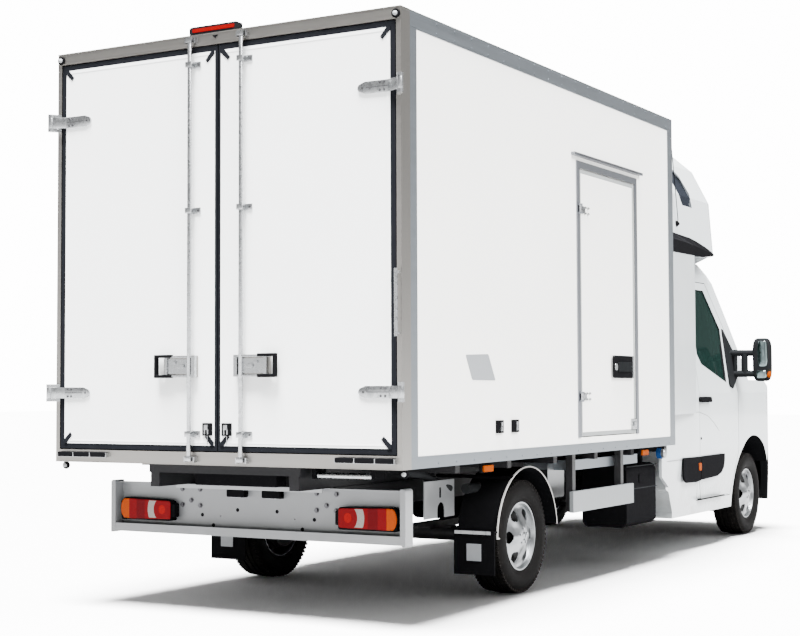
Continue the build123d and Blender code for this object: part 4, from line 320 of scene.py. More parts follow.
LAMP_MIDDLE, LAMP_HALF, LAMP_Z, LAMP_RISE = 0.744, 0.180, 0.5385, 0.0575
GUARD_POST_FACE = 1.0728
CAB_WHITE = (0.44, 0.465, 0.475)
FINISH = {
    "cab": sprayed("cab_coat", CAB_WHITE),
    # A darkened copy of the cab paint: painted shade for the thin crease strips on the cab sides.
    "painted_crease_shade": sprayed("cab_coat_in_shade", tint(CAB_WHITE, 0.22)),
    "pod": sprayed("pod_coat", tint(CAB_WHITE, 1.1), grime=0.0),
    "wall": laminate("wall_skin", (0.80, 0.795, 0.77)),
    "leaf": laminate("door_skin", (0.78, 0.79, 0.79)),
    "seal": grained("seal_rubber", (0.006, 0.0065, 0.008), 0.6, 1500),
    "pale_seal": grained("pale_seal", (0.20, 0.21, 0.21), 0.6, 1500),
    "rail": drawn_metal("anodised_profile", (0.20, 0.22, 0.24), 0.42, (1, 0.02, 1)),
    "post": drawn_metal("anodised_post", (0.19, 0.20, 0.22), 0.42, (1, 1, 0.02)),
    "stainless": drawn_metal("stainless_frame", (0.26, 0.25, 0.235), 0.36, (0.03, 1, 1)),
    "bright": plated("bright_plate"),
    "black": grained("black_plastic", (0.0035, 0.0035, 0.004), 0.65),
    "grey": grained("grey_plastic", (0.016, 0.017, 0.018), 0.6),
    "glass": tinted_glass("green_glass", (0.012, 0.030, 0.026), 0.7),
    "pod_glass": tinted_glass("pod_glass", (0.010, 0.012, 0.016), 0.1),
    "amber": moulded_lens("amber_lens", (0.20, 0.034, 0.0)),
    "red": moulded_lens("red_lens", (0.14, 0.001, 0.002)),
    "headlamp": headlamp_lens("headlamp_lens"),
    "left_tail": tail_lens("left_tail_lens", 1),
    "right_tail": tail_lens("right_tail_lens", -1),
    "clear": moulded_lens("clear_lens", (0.35, 0.36, 0.37), 120),
    "guards": guard_metal("guard_metal"),
    "steel": sprayed("black_chassis", (0.008, 0.008, 0.009), 0.5, 0.55, 0.0, 0.15),
    "beam": sprayed("beam_coat", (0.165, 0.17, 0.175), 0.36, 0.2, 0.15),
    "silver": drawn_metal("silver_cover", (0.32, 0.33, 0.34), 0.30, depth=0.00001, contrast=0.02),
    "iron": drawn_metal("cast_iron", (0.03, 0.03, 0.03), 0.6, depth=0.0006, contrast=0.3),
    "front_tyre": tyre_rubber("front_tyre_rubber", FRONT_Y),
    "rear_tyre": tyre_rubber("rear_tyre_rubber", REAR_Y),
    "cloth": woven("seat_cloth", (0.012, 0.013, 0.016)),
    "blue": grained("blue_collar", (0.01, 0.04, 0.14), 0.4),
    "dark": grained("dark_moulding", (0.006, 0.0065, 0.007), 0.6),
    "lining": grained("cabin_lining", (0.018, 0.018, 0.019), 0.8),
    "mirror": plated("mirror_face", (0.22, 0.27, 0.27), 0.04),
    # Dull dark metal for real nuts and bolts, also used for the painted shade lines in the gutter's and hinge
    # straps' grooves.
    "dull_metal_and_groove_shade": drawn_metal("dull_metal_with_groove_shade", (0.10, 0.10, 0.105), 0.45, depth=0.00002, contrast=0.05),
    "studs": checker_steel("tread_strip"),
    "plate": laminate("plain_plate", (0.165, 0.175, 0.185), 0.4),
    "zinc": drawn_metal("zinc_plate", (0.26, 0.265, 0.27), 0.38, depth=0.00005, contrast=0.05),
    "white_trim": grained("white_trim", (0.34, 0.33, 0.32), 0.5, 1500),
}
SLOT = {
    "amber": "lamp_lens", "beam": "beam_paint", "black": "black_plastic", "blue": "silver_paint",
    "bright": "bright", "cab": "cab_paint", "clear": "clear_lens", "cloth": "seat_cloth",
    "dark": "black_plastic", "painted_crease_shade": "cab_paint", "front_tyre": "tyre", "grey": "grey_plastic",
    "iron": "silver_paint", "leaf": "door_skin", "left_tail": "lamp_lens", "mirror": "black_plastic",
    "dull_metal_and_groove_shade": "bright", "plate": "black_plastic", "rail": "anodised", "rear_tyre": "tyre", "red": "lamp_lens",
    "right_tail": "lamp_lens", "seal": "seal", "silver": "silver_paint", "stainless": "stainless",
    "studs": "bright", "white_trim": "black_plastic", "zinc": "bright",
}
NODES_OF = {
    "cab": "bonnet cab_shell side_fairings cab_door_left_panel cab_door_right_panel",
    "rail": "box_edge_rails side_step",
    "bright": "box_fittings side_door_gear rear_door_left_gear rear_door_right_gear",
    "grey": "box_floor dashboard",
    "wall": "box_front_wall box_left_wall box_right_wall box_roof cooling_unit side_door_panel",
    "steel": "chassis_frame front_suspension rear_axle",
    "iron": "engine_block left_knuckle right_knuckle",
    "black": "fuel_tank grille mudguards rear_lamps steering_wheel tool_box"
    " cab_door_left_trim cab_door_right_trim"
    " front_left_tyre front_right_tyre rear_left_tyre rear_right_tyre",
    "silver": "front_left_wheel front_right_wheel rear_left_wheel rear_right_wheel",
    "glass": "windscreen cab_door_left_glass cab_door_right_glass",
    "leaf": "rear_door_left_panel rear_door_right_panel",
    "seal": "rear_door_left_seal rear_door_right_seal",
    "dark": "front_bumper", "headlamp": "headlamps", "beam": "lamp_beam", "amber": "marker_lamps",
    "pod_glass": "pod_windows", "stainless": "rear_door_frame", "cloth": "seats",
    "post": "side_door_frame", "pale_seal": "side_door_seal", "guards": "side_guards", "pod": "sleeper_pod",
}
for finish, nodes in NODES_OF.items():
    for node in nodes.split():
        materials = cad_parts[node].data.materials
        materials.clear()
        materials.append(FINISH[finish])

# Insides of the cab, each as the span of Y it fills and its middle, and the black wheel wells
WELL_RADIUS, WELL_TOP = 0.49, 0.86
CABIN = (-2.25, 0.0, (0, -1.45, 1.35))
ENGINE_BAY = (-9.0, -2.25, (0, -2.80, 0.72))
DOOR_INSIDE = (-9.0, 9.0, CABIN[2])


def line_inside(node, hollows, linings):
    """Gives each face that looks at a hollow's middle the finish of that hollow."""
    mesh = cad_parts[node].data
    for lining in linings:
        mesh.materials.append(FINISH[lining])
    for face in mesh.polygons:
        for index, (low_y, high_y, centre) in enumerate(hollows):
            looks_in = face.normal.dot(Vector(centre) - face.center) > 0
            if low_y < face.center.y <= high_y and looks_in:
                face.material_index = 1 + index
        off_axle = hypot(face.center.y - FRONT_Y, face.center.z - AXLE_Z)
        if len(linings) > len(hollows) and off_axle < WELL_RADIUS and face.center.z < WELL_TOP:
            face.material_index = len(linings)


line_inside("cab_shell", [CABIN, ENGINE_BAY], ["lining", "lining", "black"])
for name, _ in SIDES:
    line_inside(f"cab_door_{name}_panel", [DOOR_INSIDE], ["lining"])


# Mesh helpers

MERGE_DISTANCE = 1e-5
# Radius at which a turned shape stops short of its own axis
TIP = 0.0008
SHARP_EDGE, SMOOTH_BELOW = radians(35), radians(38)


def added(name, data):
    """A new object in the scene."""
    made = bpy.data.objects.new(name, data)
    bpy.context.scene.collection.objects.link(made)
    return made


def baked(piece):
    """The plain mesh that an object's modifiers give."""
    bpy.context.view_layer.update()
    return bpy.data.meshes.new_from_object(piece.evaluated_get(bpy.context.evaluated_depsgraph_get()))


def raw_mesh(name, verts=(), faces=()):
    mesh = bpy.data.meshes.new(name)
    mesh.from_pydata(verts, [], faces)
    return mesh


def place_mesh(name, mesh, material, body="body", slot=None, smooth=False):
    mesh.materials.clear()
    mesh.materials.append(FINISH[material])
    piece = added(name, mesh)
    if smooth:
        mesh.shade_smooth()
        mesh.set_sharp_from_angle(angle=SMOOTH_BELOW)
    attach(piece, body)
    slot or SLOT[material]
    return piece


def finish_mesh(name, shape, material, body="body", slot=None, smooth=False, bevel=0.0):
    """A piece from its points and faces, merged, turned outwards and put on its body."""
    verts, faces = shape
    mesh = bpy.data.meshes.new(name)
    work = bmesh.new()
    points = [work.verts.new(vert) for vert in verts]
    for face in faces:
        work.faces.new([points[index] for index in face])
    bmesh.ops.remove_doubles(work, verts=work.verts, dist=MERGE_DISTANCE)
    bmesh.ops.recalc_face_normals(work, faces=work.faces)
    if bevel:
        edges = [edge for edge in work.edges if edge.is_manifold and edge.calc_face_angle(0) > SHARP_EDGE]
        bmesh.ops.bevel(work, geom=edges, offset=bevel, segments=2, affect="EDGES", profile=0.6)
    work.to_mesh(mesh)
    work.free()
    return place_mesh(name, mesh, material, body, slot, smooth)


def strung(rows):
    """Points and faces of one closed skin through like sections."""
    count = len(rows[0])
    verts = [Vector(point) for row in rows for point in row]
    faces = [tuple(range(count)), tuple(range(len(verts) - 1, len(verts) - 1 - count, -1))]
    for row in range(len(rows) - 1):
        for index in range(count):
            a, b = row * count + index, row * count + (index + 1) % count
            faces.append((a, b, b + count, a + count))
    return verts, faces


def prism(outline, move):
    """A flat outline pulled along a vector."""
    return strung([outline, [Vector(point) + Vector(move) for point in outline]])


def joined(*shapes):
    verts, faces = [], []
    for shape_verts, shape_faces in shapes:
        faces += [tuple(index + len(verts) for index in face) for face in shape_faces]
        verts += list(shape_verts)
    return verts, faces


def slab(low, high):
    """A box between two corners."""
    (x0, y0, z0), (x1, y1, z1) = low, high
    return prism([(x0, y0, z0), (x1, y0, z0), (x1, y1, z0), (x0, y1, z0)], (0, 0, z1 - z0))


def tail_slab(low, high):
    """A box whose Y is measured from the tail."""
    return slab((low[0], TAIL_Y + low[1], low[2]), (high[0], TAIL_Y + high[1], high[2]))


def sided(shape, side):
    """A shape made for the left side, mirrored for the right one."""
    if side > 0:
        return shape
    verts, faces = shape
    return [Vector((-x, y, z)) for x, y, z in verts], [tuple(reversed(face)) for face in faces]


def pipe(path, radius, sides=12):
    """A round bar along straight runs, with flat ends."""
    path = [Vector(point) for point in path]
    rows = []
    for index, point in enumerate(path):
        run = path[min(index + 1, len(path) - 1)] - path[max(index - 1, 0)]
        turn = run.to_track_quat("Z", "Y")
        angles = [2 * pi * step / sides for step in range(sides)]
        rows.append([point + turn @ Vector((radius * cos(a), radius * sin(a), 0)) for a in angles])
    return strung(rows)


def turned(profile, centre, axis, steps=96):
    """An open profile of (along, radius) points turned about an axle."""
    turn = Vector(axis).to_track_quat("Z", "Y")
    verts, faces = [], []
    count = len(profile)
    for step in range(steps):
        angle = 2 * pi * step / steps
        for along, radius in profile:
            verts.append(Vector(centre) + turn @ Vector((radius * cos(angle), radius * sin(angle), along)))
        for index in range(count - 1):
            a, b = step * count + index, (step + 1) % steps * count + index
            faces.append((a, b, b + 1, a + 1))
    return verts, faces


def round_piece(name, profile, centre, axis, material, body="body", slot=None, steps=96):
    return finish_mesh(name, turned(profile, centre, axis, steps), material, body, slot, smooth=True)


def rounded_shell(centre, half, power, steps=32, rings=20):
    """A closed block with full round edges: an ellipsoid squared off by a power under one."""
    def squared(value):
        return abs(value) ** power * (1 if value > 0 else -1)

    rows = []
    for ring in range(1, rings):
        tall = pi * ring / rings - pi / 2
        wide, high = squared(cos(tall)), half[2] * squared(sin(tall))
        row = []
        for step in range(steps):
            way = 2 * pi * step / steps
            across, along = half[0] * wide * squared(cos(way)), half[1] * wide * squared(sin(way))
            row.append(Vector(centre) + Vector((across, along, high)))
        rows.append(row)
    return strung(rows)


def quad(x0, z0, x1, z1):
    return [(x0, z0), (x1, z0), (x1, z1), (x0, z1)]


def round_corner(outline, radius, steps=5):
    """A flat outline with each corner rounded."""
    made = []
    for index, point in enumerate(outline):
        here = Vector(point)
        before = Vector(outline[index - 1]) - here
        after = Vector(outline[(index + 1) % len(outline)]) - here
        cut = min(radius, before.length / 2.1, after.length / 2.1)
        start, end = here + before.normalized() * cut, here + after.normalized() * cut
        for share in [step / steps for step in range(steps + 1)]:
            made.append(tuple(start * (1 - share) ** 2 + here * 2 * share * (1 - share) + end * share ** 2))
    return made


def round_quad(x0, z0, x1, z1, radius):
    return round_corner(quad(x0, z0, x1, z1), radius)


def inset(outline, distance):
    """An outline moved inwards, corner by corner."""
    area = sum(a[0] * b[1] - b[0] * a[1] for a, b in zip(outline, outline[1:] + outline[:1]))
    turn = 1 if area > 0 else -1
    made = []
    for index, point in enumerate(outline):
        here = Vector(point)
        before = (here - Vector(outline[index - 1])).normalized()
        after = (Vector(outline[(index + 1) % len(outline)]) - here).normalized()
        first, second = Vector((-before.y, before.x)) * turn, Vector((-after.y, after.x)) * turn
        middle = (first + second).normalized()
        made.append(tuple(here + middle * distance / max(0.3, middle.dot(first))))
    return made


def band(outline, width):
    """The closed strip between an outline and its inset copy, as short four-cornered shapes."""
    inner = inset(outline, width)
    count = len(outline)
    return [[outline[i], outline[(i + 1) % count], inner[(i + 1) % count], inner[i]] for i in range(count)]


# Trees of Geometry Nodes

def new_tree(name, **inputs):
    """A tree with named inputs, and the calls that make its nodes, join parts and end it."""
    tree = bpy.data.node_groups.new(name, "GeometryNodeTree")
    tree.interface.new_socket("Geometry", in_out="INPUT", socket_type="NodeSocketGeometry")
    for label, (kind, default) in inputs.items():
        title = label.replace("_", " ").title()
        socket = tree.interface.new_socket(title, in_out="INPUT", socket_type=f"NodeSocket{kind}")
        socket.default_value = default
    tree.interface.new_socket("Material", in_out="INPUT", socket_type="NodeSocketMaterial")
    tree.interface.new_socket("Geometry", in_out="OUTPUT", socket_type="NodeSocketGeometry")
    source = tree.nodes.new("NodeGroupInput")

    def make(kind, values=None, **settings):
        node = tree.nodes.new(kind)
        for key, value in settings.items():
            setattr(node, key, value)
        for key, value in (values or {}).items():
            if isinstance(value, bpy.types.NodeSocket):
                tree.links.new(value, node.inputs[key])
            else:
                node.inputs[key].default_value = value
        return node.outputs[0]

    def join(*parts):
        output = make("GeometryNodeJoinGeometry")
        for part in parts:
            tree.links.new(part, output.node.inputs[0])
        return output

    def end(geometry):
        real = make("GeometryNodeRealizeInstances", {0: geometry})
        coated = make("GeometryNodeSetMaterial", {0: real, "Material": source.outputs["Material"]})
        tree.links.new(coated, tree.nodes.new("NodeGroupOutput").inputs[0])
        return tree

    return source.outputs, make, join, end


def bolt_tree():
    """A washer and a many-sided head at every point, standing along the point's aim."""
    given, make, join, end = new_tree(
        "bolts", head_radius=("Float", 0.007), head_height=("Float", 0.005),
        washer_share=("Float", 1.45), sides=("Int", 6),
    )
    sizes = {"Vertices": given["Sides"], "Radius": given["Head Radius"], "Depth": given["Head Height"]}
    head = make("GeometryNodeMeshCylinder", sizes)
    lift = make("ShaderNodeMath", {0: given["Head Height"], 1: 0.75}, operation="MULTIPLY")
    head = make("GeometryNodeTransform", {0: head, "Translation": make("ShaderNodeCombineXYZ", {"Z": lift})})
    wide = make("ShaderNodeMath", {0: given["Head Radius"], 1: given["Washer Share"]}, operation="MULTIPLY")
    thin = make("ShaderNodeMath", {0: given["Head Height"], 1: 0.4}, operation="MULTIPLY")
    washer = make("GeometryNodeMeshCylinder", {"Vertices": 16, "Radius": wide, "Depth": thin})
    aim = make("GeometryNodeInputNamedAttribute", {"Name": "aim"}, data_type="FLOAT_VECTOR")
    turn = make("FunctionNodeAlignRotationToVector", {"Vector": aim}, axis="Z")
    placed = {0: given["Geometry"], "Instance": join(head, washer), "Rotation": turn}
    return end(make("GeometryNodeInstanceOnPoints", placed))


def tread_tree():
    """Shoulder blocks set round a tyre in two rows, each row half a pitch from the other."""
    given, make, join, end = new_tree(
        "tread_blocks", count=("Int", 64), radius=("Float", 0.33), row_place=("Float", 0.08),
        block_size=("Vector", (0.03, 0.02, 0.01)),
    )
    ring = make("GeometryNodeMeshCircle", {"Vertices": given["Count"], "Radius": given["Radius"]})
    block = make("GeometryNodeMeshCube", {"Size": given["Block Size"]})
    here = make("GeometryNodeInputPosition")
    outward = make("FunctionNodeAlignRotationToVector", {"Vector": here}, axis="X")
    row = make("GeometryNodeInstanceOnPoints", {0: ring, "Instance": block, "Rotation": outward})
    rows = []
    for step, way in enumerate((1, -1)):
        place = make("ShaderNodeMath", {0: given["Row Place"], 1: way}, operation="MULTIPLY")
        moved = make("ShaderNodeCombineXYZ", {"Z": place})
        half_pitch = make("ShaderNodeMath", {0: pi * step, 1: given["Count"]}, operation="DIVIDE")
        spin = make("ShaderNodeCombineXYZ", {"Z": half_pitch})
        rows.append(make("GeometryNodeTransform", {0: row, "Translation": moved, "Rotation": spin}))
    return end(join(given["Geometry"], join(*rows)))


def slat_tree():
    """Flat bars stacked one above the other."""
    given, make, _, end = new_tree(
        "slats", count=("Int", 5), pitch=("Float", 0.02), bar_size=("Vector", (0.2, 0.01, 0.004)),
        tilt=("Float", 0.4),
    )
    step = make("ShaderNodeCombineXYZ", {"Z": given["Pitch"]})
    line = make("GeometryNodeMeshLine", {"Count": given["Count"], "Offset": step})
    bar = make("GeometryNodeMeshCube", {"Size": given["Bar Size"]})
    tilt = make("ShaderNodeCombineXYZ", {"X": given["Tilt"]})
    return end(make("GeometryNodeInstanceOnPoints", {0: line, "Instance": bar, "Rotation": tilt}))


TREES = {"bolts": bolt_tree(), "tread_blocks": tread_tree(), "slats": slat_tree()}


def grown(name, tree, base, material, body="body", slot=None, place=None, smooth=False, **sizes):
    """The plain mesh that a tree grows from a base mesh, put at its place and on its body."""
    holder = added(name + "_base", base)
    modifier = holder.modifiers.new("grow", "NODES")
    modifier.node_group = TREES[tree]
    wanted = {label.replace("_", " ").title(): value for label, value in sizes.items()}
    wanted["Material"] = FINISH[material]
    for socket in TREES[tree].interface.items_tree:
        if socket.in_out == "INPUT" and socket.name in wanted:
            modifier[socket.identifier] = wanted[socket.name]
    mesh = baked(holder)
    bpy.data.objects.remove(holder)
    if place is not None:
        mesh.transform(place)
    return place_mesh(name, mesh, material, body, slot, smooth)


def bolts(name, points, aim, material="bright", body="body", slot=None, **sizes):
    """Bolt heads at points, all standing the same way."""
    base = raw_mesh(name, [Vector(point) for point in points])
    for item in base.attributes.new("aim", "FLOAT_VECTOR", "POINT").data:
        item.vector = aim
    return grown(name, "bolts", base, material, body, slot, **sizes)


# Wheels and tyres. Profiles are (along the axle outwards, radius).

TYRE_HALF, CROWN, GROOVE = 0.1115, 0.3392, 0.0085
TYRE_SECTION = (
    (-0.070, 0.2030), (-0.088, 0.2035), (-0.094, 0.2085), (-0.093, 0.2165), (-0.102, 0.2300),
    (-TYRE_HALF, 0.2600), (-TYRE_HALF + 0.001, 0.2850), (-0.106, 0.3040), (-0.098, 0.3165),
    (-0.090, 0.3265), (-0.078, 0.3325), (-0.062, CROWN - 0.003), (-0.060, CROWN - GROOVE),
    (-0.052, CROWN - GROOVE), (-0.050, CROWN - 0.001), (-0.028, CROWN), (-0.026, CROWN - GROOVE),
    (-0.018, CROWN - GROOVE), (-0.016, CROWN), (0.0, CROWN),
)
TREAD = {"count": 72, "radius": 0.3270, "row_place": 0.0855, "block_size": (0.013, 0.0165, 0.022)}
SPOKES = 6
COVER_RADIUS, COVER_FACE, COVER_WALL = 0.196, 0.080, 0.004
COVER_BOWL, COVER_LIP, RIB_DEPTH = 0.030, 0.016, 0.010
RIB_START, RIB_RISE, RIB_END, RIB_FALL = 0.055, 0.04, 0.185, 0.02
COVER_STEPS = 144
COVER_RINGS = (
    0.024, 0.034, 0.046, 0.058, 0.070, 0.084, 0.098, 0.108, 0.118,
    0.128, 0.138, 0.148, 0.158, 0.168, 0.177, 0.186, 0.194,
)
HOLE_MIDDLE, HOLE_HALF, HOLE_SHARE = 0.139, 0.031, 0.245
NUT_COUNT, NUT_CIRCLE, NUT_FACE = 5, 0.043, 0.1045
NUT_SIZE = {"head_radius": 0.0085, "head_height": 0.006}
WHEEL_ROUNDS = (
    ("rim", "silver", None, 96, (
        (0.0875, 0.1945), (0.0885, 0.199), (0.0880, 0.2035), (0.070, 0.2025), (-0.085, 0.2025),
        (-0.088, 0.2035), (-0.0885, 0.199), (-0.080, 0.190), (-0.030, 0.176), (0.040, 0.176),
        (0.074, 0.190), (0.0875, 0.1945),
    )),
    ("disc", "iron", None, 72, (
        (0.052, 0.001), (0.052, 0.060), (0.040, 0.085), (0.046, 0.120), (0.038, 0.150),
        (0.030, 0.176), (0.022, 0.176), (0.028, 0.120), (0.030, 0.060), (0.030, 0.001),
    )),
    ("hub_cap", "silver", None, 48, (
        (0.098, TIP), (0.1075, 0.006), (0.1085, 0.016), (0.1050, 0.0235), (0.0985, 0.0275),
    )),
    ("drum", "black", "frame_steel", 60, (
        (0.010, 0.001), (0.010, 0.150), (0.002, 0.158), (-0.040, 0.158), (-0.040, 0.001),
    )),
)


def held(share):
    return max(0.0, min(1.0, share))


def cover_depth(radius, angle):
    """How far the wheel cover stands out at a place: a bowl with ribs along its spokes."""
    share = radius / COVER_RADIUS
    bowl = COVER_BOWL * (1 - share ** 2) ** 2 - COVER_LIP * share ** 4
    ribbed = held((radius - RIB_START) / RIB_RISE) * held((RIB_END - radius) / RIB_FALL)
    return bowl - RIB_DEPTH * (0.5 - 0.5 * cos(angle * SPOKES)) * ribbed


def in_hole(radius, angle):
    """Whether a place lies in one of the round holes between the cover's spokes."""
    off = (angle * SPOKES / (2 * pi) - 0.5) % 1 - 0.5
    along = (radius - HOLE_MIDDLE) / HOLE_HALF
    return abs(along) < 1 and abs(off) < HOLE_SHARE * sqrt(1 - along ** 2)


def wheel_cover(name, hub, out, body):
    verts, faces = [], []
    for radius in COVER_RINGS:
        for angle in [2 * pi * step / COVER_STEPS for step in range(COVER_STEPS)]:
            x = hub.x + out * (COVER_FACE + cover_depth(radius, angle))
            verts.append((x, hub.y + radius * cos(angle), hub.z + radius * sin(angle)))
    for ring in range(len(COVER_RINGS) - 1):
        middle = (COVER_RINGS[ring] + COVER_RINGS[ring + 1]) / 2
        for step in range(COVER_STEPS):
            if in_hole(middle, 2 * pi * (step + 0.5) / COVER_STEPS):
                continue
            a, b = ring * COVER_STEPS + step, ring * COVER_STEPS + (step + 1) % COVER_STEPS
            faces.append((a, b, b + COVER_STEPS, a + COVER_STEPS))
    mesh = raw_mesh(name, verts, faces)
    work = bmesh.new()
    work.from_mesh(mesh)
    bmesh.ops.recalc_face_normals(work, faces=work.faces)
    if sum(face.normal.x for face in work.faces) * out < 0:
        bmesh.ops.reverse_faces(work, faces=work.faces)
    bmesh.ops.delete(work, geom=[vert for vert in work.verts if not vert.link_faces], context="VERTS")
    edge = [vert for vert in work.verts if vert.is_boundary]
    bmesh.ops.smooth_vert(work, verts=edge, factor=0.5, use_axis_x=True, use_axis_y=True, use_axis_z=True)
    work.to_mesh(mesh)
    work.free()
    cover = added("cover_base", mesh)
    wall = cover.modifiers.new("wall", "SOLIDIFY")
    wall.thickness = COVER_WALL
    wall.offset = -1
    solid = baked(cover)
    bpy.data.objects.remove(cover)
    place_mesh(name, solid, "silver", body, smooth=True)


def wheel_pieces(end, name, out):
    hub, body = HUBS[end, name], f"{end}_{name}_wheel"
    section = [*TYRE_SECTION, *((-along, radius) for along, radius in TYRE_SECTION[-2::-1])]
    base = raw_mesh(f"{end}_{name}_tread", *turned(section, (0, 0, 0), (0, 0, 1), 120))
    place = Matrix.Translation(hub) @ Matrix.Rotation(pi / 2, 4, "Y")
    title = f"{end}_{name}_tyre_tread"
    tread = grown(title, "tread_blocks", base, f"{end}_tyre", body, place=place, smooth=True, **TREAD)
    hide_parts(f"{end}_{name}_tyre")
    wheel_cover(f"{end}_{name}_wheel_cover", hub, out, body)
    for label, material, slot, steps, profile in WHEEL_ROUNDS:
        piece = round_piece(f"{end}_{name}_{label}", profile, hub, (out, 0, 0), material, body, slot, steps)
        if label == "rim":
            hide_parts(f"{end}_{name}_wheel")
    angles = [2 * pi * (index + 0.25) / NUT_COUNT for index in range(NUT_COUNT)]
    x = hub.x + out * NUT_FACE
    nuts = [(x, hub.y + NUT_CIRCLE * cos(a), hub.z + NUT_CIRCLE * sin(a)) for a in angles]
    bolts(f"{end}_{name}_wheel_nuts", nuts, (out, 0, 0), "silver", body, **NUT_SIZE)


for end in ENDS:
    for name, side in SIDES:
        wheel_pieces(end, name, side)


# Rear doors. Outlines are (x, z) on the left leaf; depths are measured from the tail.

HINGE_ROWS = (1.205, 2.750)
GUIDE_ROWS = (0.982, 2.188, 2.984)
BAR_X, BAR_BACK, BAR_RADIUS, BAR_LOW, BAR_HIGH = 0.171, 0.026, 0.0120, 0.850, 3.120
PIVOT_X, PIVOT_BACK, KNUCKLE_RADIUS = 1.158, 0.040, 0.0155
STRAP_HALF, STRAP_ROOT, STRAP_THICK = 0.031, 1.074, 0.009
LUG_REACH, LUG_BOLT = 0.058, 0.044
RIVETS = ((0.917, 0.0), (1.021, -0.020), (1.047, -0.020), (1.021, 0.020), (1.047, 0.020))
HANDLE_LOW, HANDLE_HIGH = 1.288, 1.404
BEAD = 0.006
BEAD_X, BEAD_Z = (0.034, 1.064), (0.933, 3.037)
HANDLE_GRIP = [
    (0.285, HANDLE_LOW - 0.004), (0.400, HANDLE_LOW - 0.004), (0.400, HANDLE_HIGH + 0.006),
    (0.285, HANDLE_HIGH + 0.006), (0.285, HANDLE_HIGH - 0.011), (0.384, HANDLE_HIGH - 0.011),
    (0.384, HANDLE_LOW + 0.013), (0.285, HANDLE_LOW + 0.013),
]
SEAL_TIES = [
    [
        (x, z), (x + way_x * 0.020, z), (x + way_x * 0.060, z + way_z * 0.047),
        (x + way_x * 0.046, z + way_z * 0.063), (x, z + way_z * 0.020),
    ]
    for x, way_x in ((1.079, -1), (0.022, 1)) for z, way_z in ((3.052, -1), (0.920, 1))
]
LEAF_PARTS = (
    # Thin dark lines along the middle of each hinge strap: painted shade in the strap's groove.
    ("strap_groove_shade", [quad(0.938, row - 0.0022, 1.070, row + 0.0022) for row in HINGE_ROWS],
     0.008, 0.0094, "dull_metal_and_groove_shade", 0.0),
    ("handle_tray", [quad(0.128, HANDLE_LOW, 0.352, HANDLE_HIGH)], 0.0, 0.014, "stainless", 0.002),
    ("handle_rim", [
        quad(0.128, HANDLE_LOW, 0.152, HANDLE_HIGH), quad(0.152, HANDLE_LOW, 0.352, HANDLE_LOW + 0.012),
        quad(0.152, HANDLE_HIGH - 0.012, 0.352, HANDLE_HIGH),
    ], 0.014, 0.034, "bright", 0.002),
    ("handle_lever", [round_quad(0.160, HANDLE_LOW + 0.018, 0.318, HANDLE_HIGH - 0.018, 0.008)],
     0.014, 0.022, "bright", 0.0),
    ("handle_catch", [round_quad(0.205, 1.336, 0.250, 1.356, 0.006), quad(0.262, 1.360, 0.280, 1.374)],
     0.022, 0.030, "bright", 0.001),
    ("handle_tip", [quad(0.318, HANDLE_LOW + 0.012, 0.336, HANDLE_HIGH - 0.012)],
     0.014, 0.030, "bright", 0.002),
    ("handle_grip", [HANDLE_GRIP], 0.014, 0.042, "black", 0.004),
    ("hook_plate", [quad(0.032, 0.974, 0.096, 1.042)], 0.0, 0.008, "black", 0.002),
    ("seal_corners", SEAL_TIES, -0.004, 0.003, "seal", 0.0),
    ("edge_bead", [quad(x, BEAD_Z[0], x + BEAD, BEAD_Z[1]) for x in (BEAD_X[0], BEAD_X[1] - BEAD)]
     + [quad(BEAD_X[0], z, BEAD_X[1], z + BEAD) for z in (BEAD_Z[0], BEAD_Z[1] - BEAD)],
     -0.001, 0.0015, "leaf", 0.0),
)


def rear_piece(name, outlines, low, high, material, body="body", slot=None, side=1, bevel=0.0, base=TAIL_Y):
    """Flat shapes seen from behind, between two depths from a base."""
    shapes = [prism([(x, base + low, z) for x, z in outline], (0, high - low, 0)) for outline in outlines]
    return finish_mesh(name, sided(joined(*shapes), side), material, body, slot, bevel=bevel)


def hinge_strap(height):
    """The strap's flat tongue with its chamfered tip, the crank over the seal, and the knuckle."""
    pivot_y = TAIL_Y + PIVOT_BACK
    lower = [(STRAP_ROOT, -STRAP_HALF), (0.930, -STRAP_HALF), (0.896, -0.018), (0.888, -0.006)]
    tongue = lower + [(x, -z) for x, z in reversed(lower)]
    crank = [
        (STRAP_ROOT, TAIL_Y), (PIVOT_X, pivot_y - 0.009), (PIVOT_X, pivot_y + 0.009), (1.066, TAIL_Y + 0.008),
    ]
    return joined(
        prism([(x, TAIL_Y, height + z) for x, z in tongue], (0, STRAP_THICK, 0)),
        prism([(x, y, height - STRAP_HALF) for x, y in crank], (0, 0, 2 * STRAP_HALF)),
        pipe([(PIVOT_X, pivot_y, height + z) for z in (-STRAP_HALF, STRAP_HALF)], KNUCKLE_RADIUS, 20),
    )


def lock_bar(side):
    """The bar with its two cams, and its guides with the lug that bolts each to the leaf."""
    shapes = [pipe([(BAR_X, TAIL_Y + BAR_BACK, z) for z in (BAR_LOW, BAR_HIGH)], BAR_RADIUS, 20)]
    for z in (BAR_LOW, BAR_HIGH):
        shapes.append(tail_slab((BAR_X - 0.020, 0.008, z - 0.014), (BAR_X + 0.020, 0.039, z + 0.014)))
    for z in GUIDE_ROWS:
        low_x, high_x = sorted((BAR_X, BAR_X - side * LUG_REACH))
        shapes.append(tail_slab((BAR_X - 0.019, 0, z - 0.015), (BAR_X + 0.019, 0.042, z + 0.015)))
        shapes.append(tail_slab((low_x, 0, z - 0.017), (high_x, 0.006, z + 0.017)))
    return joined(*shapes)


